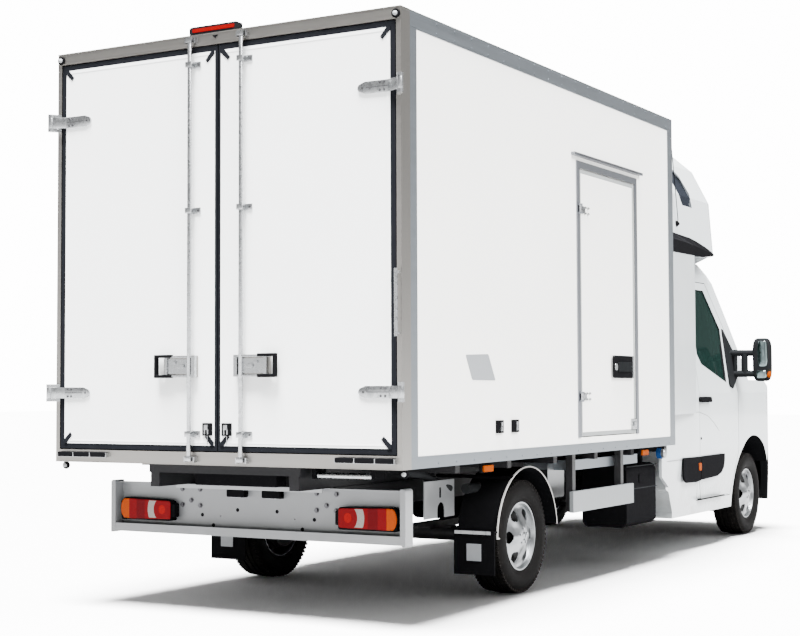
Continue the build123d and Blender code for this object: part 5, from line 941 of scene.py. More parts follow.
def leaf_pieces(name, side):
    body = f"rear_door_{name}"
    bar = sided(lock_bar(side), side)
    gear = finish_mesh(f"rear_{name}_lock_bar", bar, "bright", body, smooth=True, bevel=0.002)
    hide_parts(f"rear_door_{name}_gear")
    straps = sided(joined(*[hinge_strap(height) for height in HINGE_ROWS]), side)
    finish_mesh(f"rear_{name}_hinge_straps", straps, "bright", body, smooth=True, bevel=0.0015)
    points = [(side * (BAR_X - side * LUG_BOLT), TAIL_Y + 0.006, z) for z in GUIDE_ROWS]
    points += [(side * x, TAIL_Y + STRAP_THICK, row + z) for row in HINGE_ROWS for x, z in RIVETS]
    bolts(f"rear_{name}_gear_bolts", points, BACK, "dull_metal_and_groove_shade", body, head_radius=0.0045, head_height=0.004)
    for part, outlines, low, high, material, bevel in LEAF_PARTS:
        rear_piece(f"rear_{name}_{part}", outlines, low, high, material, body, side=side, bevel=bevel)
    hook = joined(
        tail_slab((0.052, 0.008, 1.006), (0.076, 0.020, 1.032)),
        tail_slab((0.050, 0.008, 0.982), (0.058, 0.016, 1.008)),
        tail_slab((0.070, 0.008, 0.982), (0.078, 0.016, 1.008)),
        pipe([(0.064, TAIL_Y + 0.004, 0.976), (0.064, TAIL_Y + 0.003, 0.925)], 0.0015, 8),
    )
    finish_mesh(f"rear_{name}_hook", sided(hook, side), "bright", body, bevel=0.002)


for name, side in SIDES:
    leaf_pieces(name, side)


# Rear frame: lines of its folded profile, buffers and lamps

FRAME_FOLDS = ((3.147, 3.1505), (3.090, 3.0925), (0.8155, 0.819))
BUFFER_SPANS = ((0.755, 0.868), (0.872, 0.990), (0.994, 1.105))
TOP_LAMP_X, TOP_LAMP_Z = 1.113, 3.112
STALK_X, STALK_BACK, STALK_Z = 1.118, -0.072, 0.792
MARKER_X, MARKER_PLACES = 1.112, (0.754, -1.6175)
TOP_LAMP_LOW, TOP_LAMP_HIGH = 3.151, 3.196
# Round lamp parts: name, finish, slot, whether on the stalk, way it faces, steps and profile
LAMP_ROUNDS = (
    ("top_lamp_ring", "black", "lamp_lens", False, BACK, 32, (
        (0.0, TIP), (0.004, TIP), (0.010, 0.010), (0.012, 0.021), (0.008, 0.0235), (0, 0.0235),
    )),
    ("top_lamp", "clear", None, False, BACK, 32, (
        (0.010, 0.0125), (0.016, 0.0115), (0.0195, 0.007), (0.021, TIP),
    )),
    ("stalk_lamp_ring", "black", "lamp_lens", True, BACK, 32, (
        (0, TIP), (0, 0.020), (0.010, 0.0225), (0.018, 0.020), (0.018, TIP),
    )),
    ("stalk_lamp_white", "clear", None, True, BACK, 32, (
        (0.018, 0.0120), (0.024, 0.0110), (0.0275, 0.007), (0.029, TIP),
    )),
    ("stalk_lamp_red", "red", None, True, AHEAD, 24, ((0, TIP), (0.010, 0.012), (0.013, TIP))),
)
folds = [quad(-1.139, low, 1.139, high) for low, high in FRAME_FOLDS]
rear_piece("rear_frame_fold", folds, 0, 0.004, "stainless")
for name, side in SIDES:
    pads = [round_quad(low, 0.846, high, 0.874, 0.008) for low, high in BUFFER_SPANS]
    rear_piece(f"{name}_rear_buffer", pads, 0.001, 0.026, "black", side=side, bevel=0.004)
    stalk = tail_slab((STALK_X - 0.010, STALK_BACK, STALK_Z), (STALK_X + 0.010, STALK_BACK + 0.020, 0.815))
    finish_mesh(f"{name}_stalk", sided(stalk, side), "black", slot="lamp_lens", bevel=0.003)
    for part, material, slot, on_stalk, way, steps, profile in LAMP_ROUNDS:
        centre = (side * TOP_LAMP_X, TAIL_Y, TOP_LAMP_Z)
        if on_stalk:
            centre = (side * STALK_X, TAIL_Y + STALK_BACK, STALK_Z)
        round_piece(f"{name}_{part}", profile, centre, way, material, slot=slot, steps=steps)
    for index, place in enumerate(MARKER_PLACES):
        y = REAR_Y + place
        case = slab((MARKER_X - 0.018, y - 0.066, 0.757), (MARKER_X, y + 0.066, 0.813))
        finish_mesh(f"{name}_marker_box_{index}", sided(case, side), "black", slot="lamp_lens", bevel=0.003)
        lens = slab((MARKER_X, y - 0.058, 0.762), (MARKER_X + 0.012, y + 0.058, 0.798))
        finish_mesh(f"{name}_marker_{index}", sided(lens, side), "amber", bevel=0.004)

lamp_case = round_corner([
    (-0.131, TOP_LAMP_LOW), (0.195, TOP_LAMP_LOW), (0.195, TOP_LAMP_HIGH - 0.006), (0.182, TOP_LAMP_HIGH),
    (-0.118, TOP_LAMP_HIGH), (-0.131, TOP_LAMP_HIGH - 0.006),
], 0.008)
top_lamp = rear_piece("top_brake_lamp", [lamp_case], -0.045, -0.001, "dark", slot="lamp_lens", bevel=0.002)
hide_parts("marker_lamps")
rear_piece("top_brake_strip", [round_quad(-0.108, 3.164, 0.172, 3.184, 0.006)], -0.001, 0.002, "red")
rear_piece("top_lamp_cable", [[(0.000, 3.135), (0.036, 3.135), (0.018, 3.118)]], 0, 0.004, "black")


# Lamp beam. Depths are measured from the beam's low Y.

WEB_BACK = 0.012
LENS_BACK = 0.056
BEAM_BOLTS = ((0.519, 0.657), (0.393, 0.658), (0.456, 0.594), (0.517, 0.568), (0.392, 0.567))
BEAM_HOLES = ((0.377, 0.515), (0.133, 0.550), (0.300, 0.460))
BEAM_END = [(0.952, 0.418), (0.966, 0.400), (0.986, 0.400), (0.986, 0.690), (0.978, 0.700), (0.952, 0.700)]
LAMP_IN, LAMP_OUT = LAMP_MIDDLE - LAMP_HALF, LAMP_MIDDLE + LAMP_HALF


def beam_piece(name, outline, low, high, material, side, slot=None, bevel=0.0):
    rear_piece(name, [outline], low, high, material, slot=slot, side=side, bevel=bevel, base=beam_low.y)


def tail_lamp_outline():
    """A long lamp with a round outer end and two small inner corners."""
    angles = [pi * step / 12 - pi / 2 for step in range(13)]
    outer = [(LAMP_OUT + LAMP_RISE * 0.62 * (cos(a) - 1), LAMP_Z + LAMP_RISE * sin(a)) for a in angles]
    top, foot = (LAMP_IN, LAMP_Z + LAMP_RISE - 0.008), (LAMP_IN, LAMP_Z - LAMP_RISE + 0.004)
    inner = round_corner([outer[-1], top, foot, outer[0]], 0.016)
    return outer + [point for point in inner if point[0] < outer[0][0] - 0.001]


LENS = tail_lamp_outline()
CASE = [(x + (0.005 if x > LAMP_MIDDLE else -0.005), z + (0.006 if z > LAMP_Z else -0.006)) for x, z in LENS]
for name, side in SIDES:
    beam_piece(f"{name}_tail_lamp", LENS, LENS_BACK, LENS_BACK + 0.012, f"{name}_tail", side, bevel=0.003)
    beam_piece(f"{name}_tail_case", CASE, LENS_BACK - 0.024, LENS_BACK + 0.005, "black", side, bevel=0.002)
    plug = quad(LAMP_IN - 0.026, LAMP_Z - 0.042, LAMP_IN, LAMP_Z + 0.036)
    beam_piece(f"{name}_tail_plug", plug, LENS_BACK - 0.040, LENS_BACK + 0.004, "black", side, bevel=0.008)
    case = round_quad(0.060, 0.624, 0.178, 0.668, 0.010)
    beam_piece(f"{name}_plate_lamp", case, WEB_BACK, WEB_BACK + 0.046, "black", side, bevel=0.004)
    lens = round_quad(0.082, 0.620, 0.156, 0.626, 0.002)
    beam_piece(f"{name}_plate_lens", lens, WEB_BACK + 0.012, WEB_BACK + 0.038, "clear", side)
    end_high = beam_high.y - beam_low.y + 0.002
    beam_piece(f"{name}_beam_end", BEAM_END, 0.004, end_high, "beam", side, bevel=0.004)
web_y = beam_low.y + WEB_BACK
heads = [(x * side, web_y, z) for _, side in SIDES for x, z in BEAM_BOLTS]
bolts("beam_bolts", heads, BACK, "dull_metal_and_groove_shade", head_radius=0.0105, head_height=0.009)
PLUG_PROFILE = ((0, TIP), (0, 0.0105), (0.0014, 0.0105), (0.0014, TIP))
plugs = [turned(PLUG_PROFILE, (x * side, web_y, z), BACK, 20) for _, side in SIDES for x, z in BEAM_HOLES]
finish_mesh("beam_hole_plugs", joined(*plugs), "black")
beam_piece("beam_strip", quad(-0.460, 0.666, 0.526, 0.6895), 0.0585, 0.0635, "zinc", 1, bevel=0.001)

# Below the box tail: tread strip, cable tray and folded ladder
finish_mesh("tread_strip", tail_slab((-0.480, -0.150, 0.774), (0.147, -0.110, 0.788)), "studs", bevel=0.002)
finish_mesh("cable_tray", tail_slab((-0.300, -0.210, 0.700), (0.240, -0.120, 0.774)), "black", bevel=0.006)
hangers = joined(*[tail_slab((x, -0.150, 0.788), (x + 0.015, -0.110, 0.815)) for x in (-0.455, 0.100)])
finish_mesh("tread_strip_hangers", hangers, "zinc")
LADDER_Z, LADDER_Y = 0.770, (TAIL_Y - 0.140, TAIL_Y - 0.200)
ladder = joined(
    *[pipe([(-0.545, y, LADDER_Z), (-0.890, y, LADDER_Z)], 0.014) for y in LADDER_Y],
    *[pipe([(x, LADDER_Y[1], LADDER_Z), (x, LADDER_Y[0], LADDER_Z)], 0.010) for x in (-0.58, -0.72, -0.86)],
)
finish_mesh("folded_ladder", ladder, "bright", smooth=True)
ends = [tail_slab((x - 0.012, -0.222, 0.752), (x + 0.012, -0.118, 0.815)) for x in (-0.537, -0.898)]
finish_mesh("ladder_ends", joined(*ends), "black", bevel=0.004)


# Box sides. Outlines are (y, z).

def side_piece(name, outlines, x_out, thick, material, body="body", slot=None, side=-1, bevel=0.0):
    """Flat shapes on a side face, reaching out to x_out."""
    shapes = [prism([(x_out - thick, y, z) for y, z in outline], (thick, 0, 0)) for outline in outlines]
    return finish_mesh(name, sided(joined(*shapes), side), material, body, slot, bevel=bevel)


PATCH = [(REAR_Y + y, z) for y, z in ((1.047, 1.403), (0.775, 1.411), (0.688, 1.265), (0.970, 1.267))]
CATCH_PLACES = (2.159, 2.356)
HOOK_PARTS = (
    (-0.012, 0.008, 1.012, 1.034), (-0.012, -0.005, 0.984, 1.012), (0.001, 0.008, 0.984, 1.012),
)
GUTTER_X = -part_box("side_door_frame")[0].x
RIVET_ROWS = (0.836, 3.078, 3.128)
RIVET_START, RIVET_PITCH, RIVET_COUNT = -0.34, 0.2, 18
patch = round_corner(PATCH, 0.012)
side_piece("right_wall_plain_patch", [patch], WALL_X + 0.0012, 0.0012, "plate", slot="box_skin")
for part, outline, out, thick, material, bevel in (
    ("tray", round_quad(0.372, 1.287, 0.716, 1.433, 0.020), 0.0165, 0.0035, "black", 0.003),
    ("lever", round_quad(0.400, 1.328, 0.640, 1.392, 0.014), 0.026, 0.010, "dark", 0.004),
    ("barrel", round_quad(0.652, 1.338, 0.696, 1.382, 0.022), 0.024, 0.008, "bright", 0.002),
):
    side_piece(f"side_lock_{part}", [outline], WALL_X + out, thick, material, "side_door", bevel=bevel)
catches = [quad(y - 0.041, 0.972, y + 0.041, 1.044) for y in CATCH_PLACES]
side_piece("wall_catch_plates", catches, WALL_X + 0.0135, 0.0125, "black", bevel=0.002)
hooks = [
    slab((-WALL_X - 0.024, y + low_y, low_z), (-WALL_X - 0.0135, y + high_y, high_z))
    for y in CATCH_PLACES for low_y, high_y, low_z, high_z in HOOK_PARTS
]
finish_mesh("wall_catch_hooks", joined(*hooks), "bright", bevel=0.002)
# Two thin dark lines along the gutter over the side door: painted shade in the gutter profile's grooves.
gutter_groove_shade = [quad(0.262, z, 1.262, z + 0.0035) for z in (2.655, 2.672)]
side_piece("side_gutter_groove_shade", gutter_groove_shade, GUTTER_X + 0.0006, 0.0012, "dull_metal_and_groove_shade", slot="anodised")
hinge_bolts = [
    (-WALL_X - 0.006, y, z + off)
    for z in (1.170, 2.338) for off in (-0.018, 0.018) for y in (1.080, 1.125, 1.165)
]
bolts("side_hinge_bolts", hinge_bolts, RIGHT, body="side_door", head_radius=0.006, head_height=0.006)
retainer = joined(
    slab((WALL_X, 0.296, 0.947), (WALL_X + 0.012, 0.378, 1.017)),
    slab((WALL_X + 0.012, 0.318, 0.968), (WALL_X + 0.022, 0.356, 0.998)),
)
finish_mesh("side_door_retainer", sided(retainer, -1), "bright", "side_door", bevel=0.003)
for label, side in (("", -1), ("_left", 1)):
    row = [RIVET_START + RIVET_PITCH * step for step in range(RIVET_COUNT)]
    rivets = [(side * (WALL_X + 0.004), y, z) for z in RIVET_ROWS for y in row]
    bolts(f"rail_rivets{label}", rivets, (side, 0, 0), "rail", head_radius=0.005, head_height=0.002, sides=12)
for name, side in SIDES:
    grooves = [quad(-0.454, z, 3.346, z + 0.0022) for z in (0.868, 3.066)]
    side_piece(f"{name}_rail_lips", grooves, WALL_X + 0.0055, 0.0015, "rail", side=side)


# Wheel arches, flaps and brackets

ARCH_LIP_IN, ARCH_LIP_OUT, LIP_START, LIP_END, LIP_STEPS = 0.410, 0.418, radians(4), radians(174), 32
FLAP_Y = REAR_Y + 0.461
NOTCH_Y, NOTCH_Z, NOTCH_RADIUS = 0.626, 0.531, 0.044
CAP_PLACE = (-1.040, REAR_Y - 2.125, 0.757)


def arc(centre_y, centre_z, radius, start, end, steps):
    angles = [start + (end - start) * step / steps for step in range(steps + 1)]
    return [(centre_y + radius * cos(a), centre_z + radius * sin(a)) for a in angles]


for name, side in SIDES:
    inner = arc(REAR_Y, AXLE_Z, ARCH_LIP_IN, LIP_START, LIP_END, LIP_STEPS)
    outer = arc(REAR_Y, AXLE_Z, ARCH_LIP_OUT, LIP_START, LIP_END, LIP_STEPS)
    hook = [(inner[0][0] - 0.030, inner[0][1] - 0.012), (outer[0][0], outer[0][1] - 0.014)]
    side_piece(f"{name}_arch_lip", [inner[::-1] + hook + outer], 1.0045, 0.008, "white_trim", side=side)
    strip = slab((0.752, FLAP_Y + 0.0005, 0.384), (0.985, FLAP_Y + 0.006, 0.404))
    finish_mesh(f"{name}_flap_strip", sided(strip, side), "zinc", bevel=0.001)
    flap_bolts = [(side * x, FLAP_Y + 0.006, 0.394) for x in (0.79, 0.87, 0.95)]
    bolts(f"{name}_flap_bolts", flap_bolts, BACK, "zinc", head_radius=0.006, head_height=0.004)
    bare = slab((0.829, FLAP_Y + 0.0005, 0.232), (0.922, FLAP_Y + 0.004, 0.330))
    finish_mesh(f"{name}_flap_bare_plate", sided(bare, side), "plate", bevel=0.001)
bracket = [(0.466, 0.488), (0.466, 0.699), (0.823, 0.699), (0.823, 0.488), (0.670, 0.488)]
bracket += arc(NOTCH_Y, NOTCH_Z, NOTCH_RADIUS, 0, pi, 10) + [(0.582, 0.488)]
side_piece("right_bracket_plate", [[(REAR_Y + y, z) for y, z in bracket]], 0.752, 0.006, "beam")
slot_hole = round_quad(REAR_Y + 0.629, 0.600, REAR_Y + 0.647, 0.660, 0.009)
side_piece("right_bracket_slot", [slot_hole], 0.7535, 0.0015, "black")
BENT_PIPE = ((-0.700, 0.950, 0.760), (-0.700, 0.760, 0.735), (-0.740, 0.500, 0.645))
pipes = joined(
    pipe([(-0.800, REAR_Y + 0.02, 0.640), (-0.800, REAR_Y + 0.415, 0.640)], 0.030, 16),
    pipe([(x, REAR_Y + y, z) for x, y, z in BENT_PIPE], 0.022, 16),
)
finish_mesh("right_air_pipe", pipes, "grey", smooth=True)
stay = round_quad(REAR_Y - 0.75, 0.53, REAR_Y - 0.50, 0.75, 0.02)
side_piece("right_stay_plate", [stay], 0.902, 0.004, "zinc", bevel=0.001)
COLLAR = ((-0.020, TIP), (-0.020, 0.040), (0.014, 0.040), (0.014, TIP))
round_piece("right_filler_collar", COLLAR, CAP_PLACE, RIGHT, "blue", steps=40)
CAP = ((0.014, 0.036), (0.034, 0.034), (0.040, 0.028), (0.042, TIP))
round_piece("right_filler_cap", CAP, CAP_PLACE, RIGHT, "silver", steps=40)
seams = [quad(-0.470, z, 0.110, z + 0.006) for z in (0.520, 0.675)]
side_piece("tool_box_seams", seams, 0.9915, 0.0015, "grey", slot="black_plastic")
latch = round_quad(-0.215, 0.560, -0.115, 0.620, 0.012)
side_piece("tool_box_latch", [latch], 0.998, 0.008, "black", bevel=0.002)


# Cab sides. The side leans in above the waist, so a place's X follows its height.

CAB_HALF, CAB_LEAN, WAIST_Z = 1.035, 0.1456, 1.118
WINDOW = [
    (-1.348, 1.478), (-1.423, 1.403), (-1.968, 1.262), (-1.988, 1.690), (-1.706, 1.990), (-1.348, 1.990),
]
DOOR_MOULDING = [
    (-1.288, 0.700), (-1.844, 0.702), (-1.838, 0.640), (-1.817, 0.595), (-1.760, 0.556), (-1.659, 0.533),
    (-1.288, 0.520),
]
REAR_MOULDING = [
    (-1.278, 0.698), (-0.888, 0.702), (-0.888, 0.570), (-0.905, 0.532), (-0.950, 0.514), (-1.180, 0.509),
    (-1.278, 0.519),
]
DOOR_CREASE = [
    (-1.288, 1.036), (-1.288, 1.032), (-1.470, 1.003), (-1.620, 0.945), (-1.740, 0.880), (-1.742, 0.883),
    (-1.622, 0.949), (-1.470, 1.007),
]
FRONT_FRAME = [
    (-1.350, 1.992), (-1.350, 1.972), (-1.706, 1.972), (-1.955, 1.690), (-1.945, 1.275), (-2.030, 1.232),
    (-2.036, 1.690), (-1.745, 2.012),
]
MIRROR_SAIL = [
    (-2.040, 1.700), (-2.225, 1.530), (-2.275, 1.330), (-2.095, 1.215), (-2.020, 1.238), (-2.020, 1.690),
]
# Name, outline, how far it stands out, how deep it sinks in, finish, whether on the door, bevel
CAB_PARTS = (
    ("window_frame", FRONT_FRAME, 0.0025, 0.012, "black", True, 0.0),
    ("window_post", [(-1.800, 1.300), (-1.776, 1.306), (-1.776, 1.930), (-1.800, 1.905)],
     0.0005, 0.012, "black", True, 0.0),
    ("handle_bowl", round_quad(-1.520, 1.090, -1.292, 1.172, 0.03), 0.0015, 0.004, "cab", True, 0.001),
    ("handle", round_quad(-1.505, 1.110, -1.262, 1.153, 0.018), 0.030, 0.0, "black", True, 0.006),
    ("door_moulding", round_corner(DOOR_MOULDING, 0.012), 0.0115, 0.0, "black", True, 0.004),
    ("rear_moulding", round_corner(REAR_MOULDING, 0.012), 0.011, 0.002, "black", False, 0.004),
    ("side_marker", round_quad(-1.274, 0.593, -1.218, 0.650, 0.010), 0.016, 0.0, "amber", False, 0.003),
    # The crease rows are painted shade: thin strips of the darkened cab paint laid along the body's creases.
    ("crease_0", quad(-1.280, 1.0345, -0.640, 1.0385), 0.001, 0.001, "painted_crease_shade", False, 0.0),
    ("crease_1", quad(-0.888, 0.688, -0.560, 0.692), 0.001, 0.001, "painted_crease_shade", False, 0.0),
    ("crease_2", DOOR_CREASE, 0.001, 0.001, "painted_crease_shade", True, 0.0),
    ("crease_3", quad(-1.950, 0.379, -1.290, 0.383), 0.001, 0.001, "painted_crease_shade", True, 0.0),
    ("crease_4", quad(-1.2845, 0.385, -1.2815, 1.950), 0.001, 0.001, "painted_crease_shade", False, 0.0),
    ("mirror_sail", round_corner(MIRROR_SAIL, 0.012), 0.022, 0.0, "dark", True, 0.006),
)
LOCK_BARREL = ((0, TIP), (0.004, TIP), (0.004, 0.010), (0, 0.011))
HEAD_Y, HEAD_Z = -2.240, 1.448
# Each mirror arm as its two ends, radius and sides
MIRROR_ARMS = (
    ((0.940, -2.150, 1.503), (1.190, -2.236, 1.503), 0.026, 16),
    ((0.940, -2.150, 1.334), (1.190, -2.236, 1.334), 0.027, 16),
    ((1.100, -2.206, 1.340), (1.100, -2.206, 1.498), 0.028, 16),
    ((1.030, -2.180, 1.306), (1.030, -2.180, 1.530), 0.018, 12),
)
# Mirror shells: name, centre, half size, power, finish
MIRROR_SHELLS = (
    ("head", (1.2365, HEAD_Y, HEAD_Z), (0.074, 0.047, 0.176), 0.45, "dark"),
    ("glass", (1.252, HEAD_Y + 0.0455, 1.496), (0.040, 0.0045, 0.104), 0.5, "mirror"),
    ("low_glass", (1.242, HEAD_Y + 0.0455, 1.328), (0.042, 0.0045, 0.030), 0.5, "mirror"),
    ("blinker", (1.290, HEAD_Y + 0.012, 1.330), (0.0215, 0.030, 0.030), 0.6, "amber"),
)


def cab_x(_, z):
    return CAB_HALF - CAB_LEAN * max(0.0, z - WAIST_Z)


def layered(outline, reach, proud, sink):
    """A shape that lies on a side whose X at a place is given by reach."""
    return strung([[(reach(y, z) + lift, y, z) for y, z in outline] for lift in (proud, -sink)])


for name, side in SIDES:
    body = f"cab_door_{name}"
    rim = band(round_corner(inset(WINDOW, -0.008), 0.03), 0.020)
    seal = joined(*[layered(strip, cab_x, 0.0015, 0.012) for strip in rim])
    finish_mesh(f"cab_{name}_window_seal", sided(seal, side), "black", body)
    for part, outline, proud, sink, material, on_door, bevel in CAB_PARTS:
        shape = sided(layered(outline, cab_x, proud, sink), side)
        finish_mesh(f"cab_{name}_{part}", shape, material, body if on_door else "body", bevel=bevel)
    barrel = turned(LOCK_BARREL, (side * (CAB_HALF + 0.001), -1.306, 0.835), (side, 0, 0), 20)
    finish_mesh(f"cab_{name}_lock", barrel, "black", body, "cab_paint")
    arms = joined(*[pipe([start, end], radius, sides) for start, end, radius, sides in MIRROR_ARMS])
    finish_mesh(f"{name}_mirror_arms", sided(arms, side), "dark", body, smooth=True)
    for part, centre, half, power, material in MIRROR_SHELLS:
        shell = sided(rounded_shell(centre, half, power), side)
        piece = finish_mesh(f"{name}_mirror_{part}", shell, material, body, smooth=True)
        if part == "head":
            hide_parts(f"cab_door_{name}_trim")
    sill = slab((1.000, -1.860, 0.366), (1.0345, -1.300, 0.376))
    finish_mesh(f"cab_{name}_sill_lip", sided(sill, side), "black", body, bevel=0.003)


# Pod: window frames, the dark fascia under its sides, and the aerial

POD_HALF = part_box("sleeper_pod")[1].x
POD_WINDOW = [
    (-0.600, 2.600), (-1.243, 2.600), (-1.217, 2.705), (-1.082, 2.825), (-0.890, 2.900), (-0.600, 2.900),
]
# y, outer X at the foot, foot height, top height
FASCIA = (
    (-0.466, 1.1365, 2.201, 2.372), (-0.80, 1.099, 2.212, 2.372), (-1.146, 1.060, 2.224, 2.360),
    (-1.30, 1.046, 2.230, 2.345), (-1.50, 1.034, 2.240, 2.318), (-1.700, 1.024, 2.262, 2.280),
)
AERIAL_Y, AERIAL_Z = REAR_Y - 2.590, 2.445
AERIAL_FOOT = ((0, TIP), (0, 0.030), (0.022, 0.018), (0.034, 0.008), (0.034, TIP))


def pane_reach(side):
    """Gives the pod window's outer X at a place on one side, from its nearest points."""
    points = [vert.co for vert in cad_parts["pod_windows"].data.vertices if vert.co.x * side > 0]

    def reach(y, z):
        near = sorted(points, key=lambda co: (co.y - y) ** 2 + (co.z - z) ** 2)[:6]
        return max(abs(co.x) for co in near)

    return reach


for name, side in SIDES:
    strips = [layered(strip, pane_reach(side), 0.004, 0.004) for strip in band(POD_WINDOW, 0.030)]
    shape = sided(joined(*strips), side)
    finish_mesh(f"pod_{name}_window_frame", shape, "rail", slot="black_plastic")
    rows = [
        [
            (foot_x, y, low_z), (foot_x, y, low_z + (high_z - low_z) * 0.55), (POD_HALF + 0.0015, y, high_z),
            (POD_HALF - 0.02, y, high_z), (POD_HALF - 0.02, y, low_z),
        ]
        for y, foot_x, low_z, high_z in FASCIA
    ]
    finish_mesh(f"pod_{name}_fascia", sided(strung(rows), side), "black")
round_piece("aerial_foot", AERIAL_FOOT, (-1.000, AERIAL_Y, AERIAL_Z), RIGHT, "black", steps=24)
whip = [(-1.022, AERIAL_Y, AERIAL_Z), (-1.030, AERIAL_Y + 0.02, 2.480), (-1.020, AERIAL_Y + 0.14, 3.140)]
finish_mesh("aerial_whip", pipe(whip, 0.0032, 8), "black", smooth=True)


# Nose: grille and intake slats, wipers and fog lamps

FAR_AHEAD = -5
GRILLE_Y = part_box("grille")[0].y + 0.045
WIPER_RUNS = ((0.60, 0.02), (-0.02, -0.60))
WIPER_FOOT_Z, BLADE_Z, BLADE_RISE = 1.335, 1.362, 0.075
FOG_X, FOG_Z = 0.74, 0.50
FOG_BEZEL = ((0, TIP), (0.004, 0.035), (0.010, 0.044), (0.010, 0.052), (-0.030, 0.054))
FOG_LENS = ((0.010, 0.042), (0.015, 0.032), (0.018, TIP))
for label, slot, place, count, pitch, width in (
    ("grille", "black_plastic", (0, GRILLE_Y, 0.782), 9, 0.0205, 0.98),
    ("intake", "grey_plastic", (0, -3.415, 0.440), 6, 0.0215, 0.94),
):
    base = raw_mesh(f"{label}_slats")
    sizes = {"count": count, "pitch": pitch, "bar_size": (width, 0.022, 0.004), "tilt": 0.5}
    grown(f"{label}_slats", "slats", base, "black", slot=slot, place=Matrix.Translation(place), **sizes)
backing = slab((-0.475, -3.395, 0.425), (0.475, -3.390, 0.556))
finish_mesh("intake_backing", backing, "black", slot="grey_plastic")


def front_y(node, x, z):
    """Where a ray along the truck from ahead of it first meets a node."""
    hit, place, _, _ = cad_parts[node].ray_cast((x, FAR_AHEAD, z), BACK)
    return place.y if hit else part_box(node)[0].y


for index, (pivot_x, tip_x) in enumerate(WIPER_RUNS):
    reach = tip_x - pivot_x
    run = [(pivot_x + reach * share, BLADE_Z + BLADE_RISE * share) for share in (0, 0.25, 0.5, 0.75, 1)]
    blade = [(x, front_y("windscreen", x, z) - 0.012, z) for x, z in run]
    arm = [(pivot_x, blade[0][1] - 0.010, WIPER_FOOT_Z), (blade[2][0], blade[2][1] - 0.012, blade[2][2])]
    wiper = joined(pipe(blade, 0.0065, 10), pipe(arm, 0.0075, 10))
    finish_mesh(f"wiper_{index}", wiper, "black", smooth=True)
for name, side in SIDES:
    place = (side * FOG_X, front_y("front_bumper", side * FOG_X, FOG_Z) + 0.012, FOG_Z)
    round_piece(f"{name}_fog_lamp_bezel", FOG_BEZEL, place, AHEAD, "black", slot="grey_plastic", steps=40)
    round_piece(f"{name}_fog_lamp", FOG_LENS, place, AHEAD, "clear", steps=40)


# Padded seats

SEAT_CAP, SEAT_PRESSURE, SEAT_INWARD, SEAT_VOXEL = 0.018, 4.0, 0.012, 0.024
CLOTH_FRAMES = 20


def puffed(node):
    """A node's cushions swollen under cloth, no point moving further than the cap."""
    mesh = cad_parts[node].data.copy()
    work = bmesh.new()
    work.from_mesh(mesh)
    bmesh.ops.remove_doubles(work, verts=work.verts, dist=MERGE_DISTANCE)
    bmesh.ops.recalc_face_normals(work, faces=work.faces)
    work.to_mesh(mesh)
    work.free()
    piece = added("seat_shape", mesh)
    remesh = piece.modifiers.new("remesh", "REMESH")
    remesh.mode = "VOXEL"
    remesh.voxel_size = SEAT_VOXEL
    made = baked(piece)
    piece.modifiers.clear()
    piece.data = made
    for vert in made.vertices:
        vert.co -= vert.normal * SEAT_INWARD
    start = [vert.co.copy() for vert in made.vertices]
    settings = piece.modifiers.new("cloth", "CLOTH").settings
    settings.quality = 4
    settings.mass = 0.3
    settings.use_pressure = True
    settings.uniform_pressure_force = SEAT_PRESSURE
    settings.effector_weights.gravity = 0
    settings.tension_stiffness = 18
    settings.bending_stiffness = 4
    scene = bpy.context.scene
    for step in range(1, CLOTH_FRAMES + 1):
        scene.frame_set(step)
    swollen = baked(piece)
    piece.modifiers.clear()
    for vert, first in zip(swollen.vertices, start):
        shift = vert.co - first
        if shift.length > SEAT_CAP:
            vert.co = first + shift.normalized() * SEAT_CAP
    piece.data = swollen
    scene.frame_set(1)
    smooth = piece.modifiers.new("smooth", "SUBSURF")
    smooth.levels = smooth.render_levels = 1
    final = baked(piece)
    bpy.data.objects.remove(piece)
    return final


seat_mesh = puffed("seats")
seat_pads = place_mesh("seat_pads", seat_mesh, "cloth", smooth=True)
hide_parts("seats")


# Studio: pale floor, even backdrop, three wide lights and the photograph's camera

FLOOR_HALF = 60
SKY_GLOW, BACKDROP_GLOW = 0.5, 15.0
CAMERA_PLACE, CAMERA_LENS, CAMERA_SENSOR, CAMERA_REACH = (-5.008, 10.144, 1.218), 69.9, 36, 200
AZIMUTH, PITCH, ROLL = radians(30.06), radians(2.63), radians(-0.21)

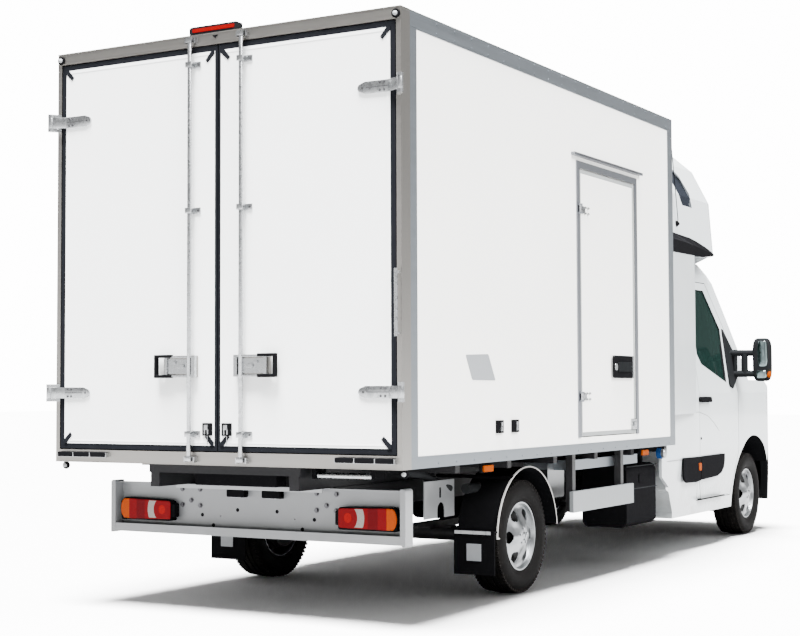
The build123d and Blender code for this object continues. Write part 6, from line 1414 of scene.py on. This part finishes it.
corners = [(x, y, 0) for x, y in quad(-FLOOR_HALF, -FLOOR_HALF, FLOOR_HALF, FLOOR_HALF)]
floor = added("studio_floor", raw_mesh("studio_floor", corners, [(0, 1, 2, 3)]))
paper = Finish("studio_paper", (0.93, 0.93, 0.93), 0.85)
paper.put("Roughness", paper.span(paper.noise(0.6, 2), 0.3, 0.7, 0.8, 0.9))
seen = paper.node("ShaderNodeLightPath")
paper.paint(seen, (0.33, 0.33, 0.33), (0.97, 0.97, 0.97))
floor.data.materials.append(paper.material)

world = bpy.data.worlds.new("studio")
bpy.context.scene.world = world
world.use_nodes = True
world_nodes, world_links = world.node_tree.nodes, world.node_tree.links
backdrop = world_nodes.new("ShaderNodeMath")
backdrop.operation = "MULTIPLY_ADD"
backdrop.inputs[1].default_value = BACKDROP_GLOW - SKY_GLOW
backdrop.inputs[2].default_value = SKY_GLOW
world_links.new(world_nodes.new("ShaderNodeLightPath").outputs["Is Camera Ray"], backdrop.inputs[0])
world_nodes["Background"].inputs["Color"].default_value = (1, 1, 1, 1)
world_links.new(backdrop.outputs[0], world_nodes["Background"].inputs["Strength"])


def wide_light(name, way, strength, spread, on_floor=True):
    """Even soft light from one way, the same at every place, kept off the floor if wanted."""
    data = bpy.data.lights.new(name, "SUN")
    data.energy = strength
    data.angle = radians(spread)
    data.specular_factor = 0.35
    lamp = added(name, data)
    lamp.rotation_mode = "QUATERNION"
    lamp.rotation_quaternion = Vector(way).to_track_quat("-Z", "Y")
    if not on_floor:
        left_out = bpy.data.collections.new(f"{name}_left_out")
        left_out.objects.link(floor)
        left_out.collection_objects[0].light_linking.link_state = "EXCLUDE"
        lamp.light_linking.receiver_collection = left_out


wide_light("top_light", (-0.02, -0.24, -1), 44, 24)
wide_light("key_light", (0.40, -0.80, -1.1), 1.2, 30, on_floor=False)
wide_light("side_light", (1.0, -0.15, -1.0), 14, 35, on_floor=False)

camera_data = bpy.data.cameras.new("camera")
camera_data.lens = CAMERA_LENS
camera_data.sensor_width = CAMERA_SENSOR
camera_data.clip_end = CAMERA_REACH
camera = added("camera", camera_data)
view_way = Vector((sin(AZIMUTH) * cos(PITCH), -cos(AZIMUTH) * cos(PITCH), sin(PITCH)))
camera.location = CAMERA_PLACE
camera.rotation_mode = "QUATERNION"
camera.rotation_quaternion = view_way.to_track_quat("-Z", "Y") @ Matrix.Rotation(ROLL, 3, "Z").to_quaternion()
bpy.context.scene.camera = camera
